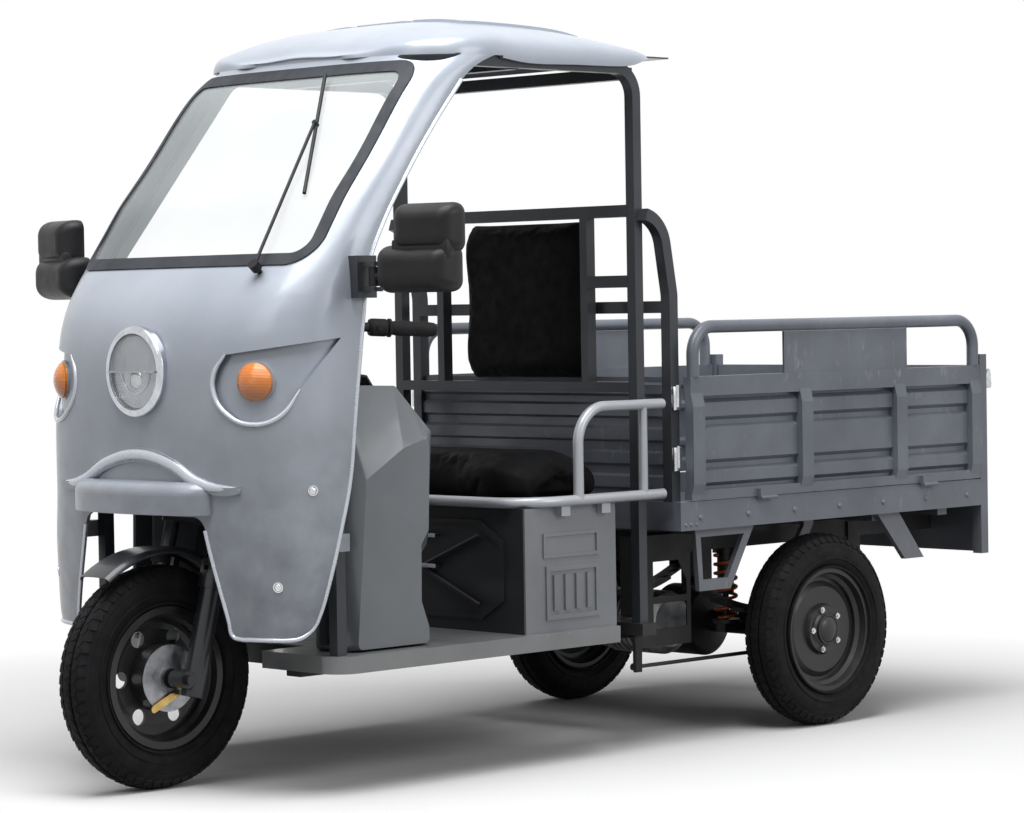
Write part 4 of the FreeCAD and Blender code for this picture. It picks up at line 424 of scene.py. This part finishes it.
def toward(place, heading):
    """The turn and move that takes the Z axis at the origin to a heading at a place."""
    return Matrix.Translation(place) @ Vector(heading).to_track_quat("Z", "Y").to_matrix().to_4x4()


def disc(work, place, heading, radius, depth, segments):
    """A short cylinder that starts at a place and stands along its heading."""
    middle = toward(place, heading) @ Matrix.Translation((0, 0, depth / 2))
    bmesh.ops.create_cone(work, cap_ends=True, segments=segments, radius1=radius, radius2=radius,
                          depth=depth, matrix=middle)


def dome(work, place, heading, radius, rise):
    """A flattened ball, sunk halfway into a face."""
    made = bmesh.ops.create_uvsphere(work, u_segments=20, v_segments=10, radius=1.0)["verts"]
    size = Matrix.Diagonal((radius, radius, rise, 1))
    bmesh.ops.transform(work, verts=made, matrix=toward(place, heading) @ size)


def slab(work, low, high, edge=0.0, turn=None):
    """A box between two corners, with its edges rounded and the whole of it turned where asked."""
    low, high = Vector(low), Vector(high)
    size = Matrix.Diagonal((*(high - low), 1))
    place = Matrix.Translation((low + high) / 2)
    made = bmesh.ops.create_cube(work, size=1.0, matrix=(turn or Matrix()) @ place @ size)["verts"]
    if edge:
        edges = list({side for corner in made for side in corner.link_edges})
        bmesh.ops.bevel(work, geom=edges, offset=edge, segments=2, profile=0.5, affect="EDGES", material=-1)


def ring(work, place, heading, outline, steps=48):
    """An outline of (radius, height) corners, spun all the way round a heading."""
    turn = toward(place, heading)
    corners = [work.verts.new(turn @ Vector((radius, 0, rise))) for radius, rise in outline]
    edges = [work.edges.new(pair) for pair in zip(corners, corners[1:] + corners[:1])]
    bmesh.ops.spin(work, geom=corners + edges, axis=Vector(heading).normalized(), cent=place, steps=steps,
                   angle=math.tau, use_merge=True)


def bead(name, places, radius, finish, body, ends=1.0):
    """A round bead that runs smoothly through the places, thinner at its ends where asked."""
    curve = bpy.data.curves.new(name, "CURVE")
    curve.dimensions = "3D"
    curve.bevel_depth = radius
    curve.bevel_resolution = 3
    curve.resolution_u = 6
    curve.use_fill_caps = True
    line = curve.splines.new("BEZIER")
    line.bezier_points.add(len(places) - 1)
    for point, place in zip(line.bezier_points, places):
        point.co = place
        point.handle_left_type = point.handle_right_type = "AUTO"
    line.bezier_points[0].radius = line.bezier_points[-1].radius = ends
    holder = added(name + "_path", curve)
    mesh = bpy.data.meshes.new_from_object(holder.evaluated_get(bpy.context.evaluated_depsgraph_get()))
    bpy.data.objects.remove(holder)
    work = bmesh.new()
    work.from_mesh(mesh)
    bpy.data.meshes.remove(mesh)
    bmesh.ops.remove_doubles(work, verts=work.verts, dist=SAME_PLACE)
    piece(name, work, finish, body)


def tyre_size(tyre):
    """A tyre's centre, radius and half width."""
    low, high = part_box(tyre)
    return (low + high) / 2, (high.z - low.z) / 2, (high.y - low.y) / 2


def tyre_tread(name, body, tyre):
    """Blocks round the tyre: a middle row between the two channels, and rows over both shoulders.

    Each row has a place across the tyre, a drop below the crown, a width, and the blocks' tilt and skew.
    """
    centre, radius, half = tyre_size(tyre)
    count, row_shift = 56, 0.4
    half_length, root, top = 0.0095, -0.006, 0.0012
    rows = [(0.0, 0.0, 0.019, 0.0, 24)]
    for side in (1, -1):
        rows += [(side * (half - 0.0255), 0.0045, 0.011, side * 14, -24),
                 (side * (half - 0.011), 0.0135, 0.017, side * 48, 16)]
    work = bmesh.new()
    for row, (across, drop, width, tilt, skew) in enumerate(rows):
        for number in range(count):
            angle = (number + row * row_shift) * math.tau / count
            turn = Matrix.Translation(centre) @ Matrix.Rotation(angle, 4, "Y")
            turn = turn @ Matrix.Translation((0, across, radius - drop))
            turn = turn @ Matrix.Rotation(math.radians(-tilt), 4, "X")
            turn = turn @ Matrix.Rotation(math.radians(skew), 4, "Z")
            slab(work, (-half_length, -width / 2, root), (half_length, width / 2, top), turn=turn)
    piece(name, work, TYRE, body, smooth=False)


def sidewall_rings(name, body, tyre):
    """Raised rings round both sidewalls, each some way in from the crown and from the widest place."""
    centre, radius, half = tyre_size(tyre)
    foot, crest, sunk, proud = 0.004, 0.002, -0.004, 0.0014
    work = bmesh.new()
    for inward, behind in ((0.062, 0.0), (0.034, 0.0035), (0.086, 0.003)):
        line = radius - inward
        outline = [(line - foot, sunk), (line - crest, proud), (line + crest, proud), (line + foot, sunk)]
        for side in (1, -1):
            place = centre + Vector((0, side * (half - behind), 0))
            ring(work, place, (0, side, 0), outline, 96)
    piece(name, work, TYRE, body)


def rear_wheel_trim(word, side):
    """Five wheel nuts and a domed cap on the hub."""
    body = "rear_wheel_" + word
    outward = Vector((0, side, 0))
    hub = Vector((REAR_AXLE_X, side * 0.478, 0.25))
    nuts, circle = 5, 0.054
    work = bmesh.new()
    for number in range(nuts):
        angle = number * math.tau / nuts
        spot = hub + Vector((circle * math.cos(angle), 0, circle * math.sin(angle)))
        disc(work, spot, outward, 0.0085, 0.007, segments=6)
        disc(work, spot, outward, 0.0045, 0.011, segments=12)
    piece("wheel_nuts_" + word, work, PLATED, body)
    work = bmesh.new()
    face = hub + outward * 0.0075
    dome(work, face, outward, 0.036, 0.014)
    ring(work, face, outward, [(0.034, -0.001), (0.04, -0.001), (0.039, 0.005), (0.035, 0.005)])
    piece("hub_cap_" + word, work, WHEEL, body)


def fork_trim():
    """Dust seals round the fork legs, above the sliders."""
    lean = Vector((-0.258819, 0, 0.965926))
    up_the_leg = 0.2665
    outline = [(0.0195, -0.004), (0.031, -0.004), (0.03, 0.008), (0.024, 0.016), (0.0195, 0.018)]
    work = bmesh.new()
    for side in (1, -1):
        leg = Vector((1.1, side * 0.098, 0.26))
        ring(work, leg + lean * up_the_leg, lean, outline)
    piece("fork_seals", work, RUBBER, "fork_lower")


def camera():
    """The view of the photograph."""
    stand = (5.874, 6.038, 1.114)
    yaw, pitch, roll = (math.radians(degrees) for degrees in (-134.38, -1.79, -0.94))
    ahead = Vector((math.cos(pitch) * math.cos(yaw), math.cos(pitch) * math.sin(yaw), math.sin(pitch)))
    level = ahead.cross(Vector((0, 0, 1))).normalized()
    upright = level.cross(ahead)
    right = math.cos(roll) * level + math.sin(roll) * upright
    top = math.cos(roll) * upright - math.sin(roll) * level
    lens = bpy.data.cameras.new("photo_camera")
    lens.sensor_fit = "HORIZONTAL"
    lens.sensor_width = 36.0
    lens.lens = 115.45
    holder = added("photo_camera", lens)
    turn = Matrix((right, top, -ahead)).transposed().to_4x4()
    holder.matrix_world = Matrix.Translation(stand) @ turn
    bpy.context.scene.camera = holder


def soft_light(name, place, target, size, power):
    """A broad rectangular lamp that is aimed at a target."""
    lamp = bpy.data.lights.new(name, "AREA")
    lamp.shape = "RECTANGLE"
    lamp.size, lamp.size_y = size
    lamp.energy = power
    aim = (Vector(target) - Vector(place)).to_track_quat("-Z", "Y").to_matrix().to_4x4()
    added(name, lamp).matrix_world = Matrix.Translation(place) @ aim


def shown(tree):
    """1 for what is seen straight, in a reflection or through glass, and 0 for light that only fills in."""
    rays = tree.nodes.new("ShaderNodeLightPath")
    seen = rays.outputs["Is Camera Ray"]
    for word in ("Is Glossy Ray", "Is Transmission Ray"):
        either = tree.nodes.new("ShaderNodeMath")
        either.operation = "MAXIMUM"
        tree.links.new(seen, either.inputs[0])
        tree.links.new(rays.outputs[word], either.inputs[1])
        seen = either.outputs[0]
    return seen


def studio():
    """A pale floor that runs out to white, a white surround and soft lights."""
    floor_fill, floor_seen, sky_fill, sky_seen = 0.12, 0.78, 0.2, 1.0
    fade_start, fade_end = 1.2, 2.8
    work = bmesh.new()
    bmesh.ops.create_circle(work, cap_ends=True, segments=96, radius=40.0)
    mesh = bpy.data.meshes.new("studio_floor")
    work.to_mesh(mesh)
    work.free()
    floor = added("studio_floor", mesh)
    made = Finish("studio_floor", Roughness=0.9, Specular_IOR_Level=0.0)
    seen = shown(made.tree)
    made.base(made.mixed(seen, (*[floor_fill] * 3, 1), (*[floor_seen] * 3, 1)))
    length = made.add("ShaderNodeVectorMath")
    length.operation = "LENGTH"
    made.join(made.place, length.inputs[0])
    far = made.spread(length.outputs["Value"], fade_start, fade_end)
    white = made.add("ShaderNodeEmission")
    blend = made.add("ShaderNodeMixShader")
    made.join(made.product(far, seen), blend.inputs[0])
    made.join(made.shader.outputs[0], blend.inputs[1])
    made.join(white.outputs[0], blend.inputs[2])
    made.join(blend.outputs[0], made.tree.nodes["Material Output"].inputs["Surface"])
    mesh.materials.append(made.look)
    world = bpy.data.worlds.new("studio_surround")
    world.use_nodes = True
    bpy.context.scene.world = world
    tree = world.node_tree
    level = tree.nodes.new("ShaderNodeMapRange")
    level.inputs["To Min"].default_value = sky_fill
    level.inputs["To Max"].default_value = sky_seen
    tree.links.new(shown(tree), level.inputs["Value"])
    sky = tree.nodes["Background"]
    sky.inputs["Color"].default_value = (1, 1, 1, 1)
    tree.links.new(level.outputs[0], sky.inputs["Strength"])
    soft_light("key_light", (1.5, 0.8, 5.2), (0.3, 0.0, 0.8), (3.8, 3.8), 330)
    soft_light("side_light", (-1.2, 5.5, 3.2), (-0.4, 0.0, 0.7), (3.6, 2.4), 100)
    soft_light("nose_light", (6.0, 0.5, 4.4), (0.9, 0.0, 1.2), (2.4, 2.4), 30)


def soften(name, shell_node, body, reach, scale):
    """A stuffed cover: the solid's shape, drawn in a little and blown up by air in a cloth simulation.

    No place on it moves further than its reach or leaves the solid's box.
    """
    last_frame = 20
    work = bmesh.new()
    work.from_mesh(nodes[shell_node].data)
    bmesh.ops.remove_doubles(work, verts=work.verts, dist=SAME_PLACE)
    low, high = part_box(shell_node)
    middle = (low + high) / 2
    shrink = Matrix.Translation(middle) @ Matrix.Diagonal((*scale, 1)) @ Matrix.Translation(-middle)
    bmesh.ops.transform(work, verts=work.verts, matrix=shrink)
    made = piece(name, work, COVER, body)
    remesh = made.modifiers.new("even_cover", "REMESH")
    remesh.mode = "VOXEL"
    remesh.voxel_size = 0.006
    settle(made)
    before = [corner.co.copy() for corner in made.data.vertices]
    cloth = made.modifiers.new("blown_up", "CLOTH")
    cloth.settings.use_pressure = True
    cloth.settings.uniform_pressure_force = 4.0
    cloth.settings.tension_stiffness = 25.0
    cloth.settings.compression_stiffness = 25.0
    cloth.settings.bending_stiffness = 1.5
    cloth.settings.effector_weights.gravity = 0.0
    cloth.point_cache.frame_start, cloth.point_cache.frame_end = 1, last_frame
    for number in range(1, last_frame + 1):
        bpy.context.scene.frame_set(number)
        bpy.context.evaluated_depsgraph_get()
    settle(made)
    bpy.context.scene.frame_set(1)
    for corner, start in zip(made.data.vertices, before):
        moved = corner.co - start
        if moved.length > reach:
            corner.co = start + moved * (reach / moved.length)
        corner.co = [min(max(value, least), most) for value, least, most in zip(corner.co, low, high)]
    finer = made.modifiers.new("finer_cover", "SUBSURF")
    finer.levels = finer.render_levels = 1
    settle(made)
    made.data.shade_smooth()
    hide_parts(shell_node)


def settle(made):
    """Takes what the modifiers make of a piece as its mesh."""
    mesh = bpy.data.meshes.new_from_object(made.evaluated_get(bpy.context.evaluated_depsgraph_get()))
    made.modifiers.clear()
    made.data = mesh


# The fairing's level sections: height, nose, edge of the door opening, half width and squareness.
SHELL_LEVELS = [
    (0.365, 1.160, 1.040, 0.440, 2.6), (0.430, 1.165, 1.022, 0.456, 2.7), (0.500, 1.169, 1.002, 0.465, 2.8),
    (0.600, 1.172, 0.974, 0.470, 3.0), (0.720, 1.175, 0.943, 0.472, 3.1), (0.860, 1.176, 0.925, 0.472, 3.2),
    (1.000, 1.171, 0.906, 0.471, 3.2), (1.090, 1.152, 0.893, 0.470, 3.2), (1.160, 1.112, 0.882, 0.468, 3.2),
    (1.217, 1.064, 0.867, 0.466, 3.2), (1.300, 0.997, 0.824, 0.464, 3.2), (1.420, 0.900, 0.742, 0.461, 3.2),
    (1.540, 0.803, 0.648, 0.458, 3.2), (1.640, 0.722, 0.560, 0.456, 3.2), (1.703, 0.671, 0.447, 0.454, 3.2),
]


def shell_level(z):
    """The fairing's level section at a height: nose, edge, half width and squareness."""
    for lower, upper in zip(SHELL_LEVELS, SHELL_LEVELS[1:]):
        if z <= upper[0]:
            share = max(z - lower[0], 0.0) / (upper[0] - lower[0])
            return [start + (stop - start) * share for start, stop in zip(lower[1:], upper[1:])]


def shell_front(y, z):
    """The place on the fairing's skin that lies ahead of a place in the cab."""
    nose, edge, half, square = shell_level(z)
    return Vector((edge + (nose - edge) * (1 - (abs(y) / half) ** square) ** (1 / square), y, z))


def shell_side(x, z):
    """The place on the left of the fairing's skin at a length and height."""
    nose, edge, half, square = shell_level(z)
    return Vector((x, half * (1 - (max(x - edge, 0.0) / (nose - edge)) ** square) ** (1 / square), z))


def shell_edge():
    """The rolled edge down both door openings, round the lower corners and up into the wheel arch."""
    door = [Vector((level[2], level[3], level[0])) for level in reversed(SHELL_LEVELS[2:-1])]
    foot_level, sunk = 0.3655, 0.001
    corner = [(1.0257, 0.416), (1.035, 0.395), (1.0507, 0.3795), (1.070, 0.369), (1.093, foot_level)]
    foot = [(0.40, foot_level), (0.37, foot_level), (0.34, foot_level), (0.31, foot_level)]
    arch = [(0.289, 0.372), (0.281, 0.405), (0.260, 0.48), (0.237, 0.56), (0.224, 0.61)]
    line = door + [shell_side(x, z) for x, z in corner] + [shell_front(y, z) for y, z in foot + arch]
    for word, side in SIDES:
        path = [Vector((place.x, side * (place.y - sunk), place.z)) for place in line]
        # The beads are coloured with the painted highlight.
        bead("shell_edge_" + word, path, 0.0055, PAINTED_HIGHLIGHT, "chassis")


def shell_along(place, heading):
    """The place where a line that starts inside the fairing comes out through its skin."""
    near, far, halvings = 0.0, 0.4, 40
    for _ in range(halvings):
        middle = (near + far) / 2
        spot = place + heading * middle
        nose, edge, half, square = shell_level(spot.z)
        reach = (max(spot.x - edge, 0.0) / (nose - edge)) ** square + (abs(spot.y) / half) ** square
        near, far = (middle, far) if reach < 1 else (near, middle)
    return place + heading * near


def shell_rolls():
    """The rolled wave over the brow, and the lips round the lower half of both signal pods."""
    wave = [(-0.33, 0.704), (-0.22, 0.714), (-0.114, 0.760), (0.0, 0.779),
            (0.114, 0.760), (0.22, 0.714), (0.33, 0.704)]
    # The wave and the pod lips are coloured with the painted highlight.
    bead("wave_roll", [shell_front(y, z) for y, z in wave], 0.0155, PAINTED_HIGHLIGHT, "chassis", ends=0.35)
    lens_low, lens_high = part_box("turn_signal_lenses")
    level = (lens_low.z + lens_high.z) / 2
    lip = [(-0.066, 0.062), (-0.093, 0.020), (-0.095, -0.024), (-0.062, -0.074),
           (0.0, -0.096), (0.062, -0.076), (0.106, -0.018)]
    diagonal, inside = 0.7071, 0.12
    for word, side in SIDES:
        slant = Vector((diagonal, diagonal * side, 0))
        along = Vector((-diagonal, diagonal * side, 0))
        middle = Vector((1.131, side * 0.362, level)) - slant * inside
        path = [shell_along(middle + along * across + Vector((0, 0, up)), slant) for across, up in lip]
        bead("pod_lip_" + word, path, 0.006, PAINTED_HIGHLIGHT, "chassis", ends=0.4)


def headlight_parts():
    """The reflector with its bulb shield behind the glass, and the bar across the middle of the lamp."""
    low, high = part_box("headlight_lens")
    level = ((low + high) / 2).z
    ahead = (1, 0, 0)
    work = bmesh.new()
    disc(work, Vector((low.x - 0.0015, 0, level)), ahead, 0.084, 0.001, segments=48)
    piece("lamp_reflector", work, CHROME, "chassis")
    work = bmesh.new()
    shield = Vector((low.x - 0.001, 0, level))
    dome(work, shield - Vector((0, 0, 0.018)), ahead, 0.022, 0.008)
    ring(work, shield, ahead, [(0.05, 0), (0.052, 0), (0.052, 0.003), (0.05, 0.003)])
    piece("lamp_bulb_shield", work, PLATED, "chassis")
    work = bmesh.new()
    half_width, half_height = 0.085, 0.002
    slab(work, (high.x - 0.012, -half_width, level - half_height),
         (high.x + 0.0005, half_width, level + half_height), 0.001)
    piece("lamp_bar", work, CAST, "chassis")


def fairing_screws():
    """Dished screws that hold the fairing's side to the hoop."""
    upper = (1.0455, 0.460, 0.702), (0.352, 0.936, 0.022)
    lower = (1.1096, 0.410, 0.486), (0.847, 0.53, -0.038)
    washer = [(0.0085, -0.001), (0.0125, -0.001), (0.012, 0.0015), (0.009, 0.0015)]
    work = bmesh.new()
    for place, heading in (upper, lower):
        for side in (1, -1):
            spot = Vector((place[0], side * place[1], place[2]))
            way = Vector((heading[0], side * heading[1], heading[2]))
            dome(work, spot, way, 0.0085, 0.003)
            ring(work, spot, way, washer, 24)
    piece("fairing_screws", work, PLATED, "chassis")


def seat_front_trim():
    """Light pull strips and the crossed ribs of the black panel under the seat."""
    work = bmesh.new()
    for z in (0.474, 0.549):
        slab(work, (0.3855, 0.058, z - 0.005), (0.3885, 0.152, z + 0.005), 0.0012)
    piece("seat_pull_strips", work, RAIL, "chassis")
    work = bmesh.new()
    face, level = 0.378, 0.47
    for up in (0.085, -0.085):
        for side in (1, -1):
            start, stop = Vector((face, side * 0.09, level)), Vector((face, side * 0.30, level + up))
            disc(work, start, stop - start, 0.005, (stop - start).length, segments=12)
    piece("seat_front_ribs", work, BLACK_PANEL, "chassis")


def bed_trim():
    """Toggle catches on the arched posts, and bolts along the sills."""
    work = bmesh.new()
    for side in (1, -1):
        for z in (0.72, 0.872):
            low, high = sorted((side * 0.4715, side * 0.481))
            slab(work, (-0.156, low, z - 0.03), (-0.128, high, z + 0.03), 0.002)
            disc(work, Vector((-0.142, side * 0.480, z - 0.022)), (0, 0, 1), 0.0055, 0.055, segments=12)
    piece("post_catches", work, PLATED, "chassis")
    sill_face, bolts, pitch = 0.5, 7, 0.18
    work = bmesh.new()
    for side in (1, -1):
        outward = (0, side, 0)
        for number in range(bolts):
            dome(work, Vector((-0.2 - number * pitch, side * sill_face, 0.572)), outward, 0.008, 0.0045)
        for x in (-0.145, -0.165, -0.185):
            dome(work, Vector((x, side * sill_face, 0.555)), outward, 0.005, 0.003)
    piece("sill_bolts", work, BED, "chassis")


def mirror_waists():
    """The moulded waist that joins the two steps of each mirror case."""
    yaw = 12
    for word, side in SIDES:
        middle = Vector((0.897, side * 0.665, 1.243))
        turn = Matrix.Translation(middle) @ Matrix.Rotation(math.radians(yaw * side), 4, "Z")
        low, high = sorted((side * -0.065, side * 0.0905))
        work = bmesh.new()
        slab(work, (-0.035, low, -0.03), (0.02, high, 0.02), 0.008, turn)
        piece("mirror_waist_" + word, work, BLACK_PLASTIC, "mirror_" + word)


def spring_copy(node, keep=0):
    """A spring's mesh, or its half ahead of the axle or behind it, cut into steps."""
    cuts, step = 13, 0.035
    work = bmesh.new()
    work.from_mesh(nodes[node].data)
    bmesh.ops.remove_doubles(work, verts=work.verts, dist=SAME_PLACE)
    if keep:
        for number in range(cuts):
            everything = work.verts[:] + work.edges[:] + work.faces[:]
            place = (REAR_AXLE_X + keep * step * number, 0, 0)
            bmesh.ops.bisect_plane(work, geom=everything, plane_co=place, plane_no=(-keep, 0, 0),
                                   clear_outer=number == 0)
        bmesh.ops.holes_fill(work, edges=[edge for edge in work.edges if edge.is_boundary])
    return work


def springs():
    """Copies of the coil springs, and of the leaf springs' halves ahead of the axle and behind it, for the
    parts.
    """
    low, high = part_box("shock_springs")
    coils = piece("coil_springs", spring_copy("shock_springs"), ORANGE, None)
    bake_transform(coils)
    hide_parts("shock_springs")
    low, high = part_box("leaf_springs")
    for word, keep, eye in (("front", 1, high.x - 0.04), ("rear", -1, low.x + 0.04)):
        leaves = piece("leaf_pack_" + word, spring_copy("leaf_springs", keep), BLACK_STEEL, None)
        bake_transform(leaves)
        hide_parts("leaf_springs")


def dash_gauge():
    """A round dial with its rim on the dash, ahead of the handlebar."""
    place, way = Vector((1.009, 0, 1.052)), Vector((-0.977, 0, 0.21))
    work = bmesh.new()
    ring(work, place, way, [(0.044, -0.002), (0.052, -0.002), (0.05, 0.01), (0.044, 0.01)])
    piece("dial_rim", work, BLACK_PLASTIC, "chassis")
    work = bmesh.new()
    disc(work, place, way, 0.0445, 0.004, segments=48)
    piece("dial_face", work, MIRROR, "chassis")


def wheels_trim():
    """Tread and sidewall rings on the three tyres, and the rear wheels' nuts and caps."""
    for body in ("front_wheel", "rear_wheel_left", "rear_wheel_right"):
        tyre = body.replace("wheel", "tyre")
        tyre_tread(body + "_tread", body, tyre)
        sidewall_rings(body + "_sidewall", body, tyre)
    for word, side in SIDES:
        rear_wheel_trim(word, side)


camera()
studio()
bpy.context.scene.view_settings.view_transform = "Standard"
soften("soft_seat", "seat_cushion", "seat", reach=0.022, scale=(0.985, 0.97, 0.9))
soften("soft_back", "backrest_pad", "chassis", reach=0.009, scale=(0.86, 0.985, 0.985))
shell_edge()
shell_rolls()
headlight_parts()
fairing_screws()
seat_front_trim()
bed_trim()
mirror_waists()
springs()
dash_gauge()
fork_trim()
wheels_trim()
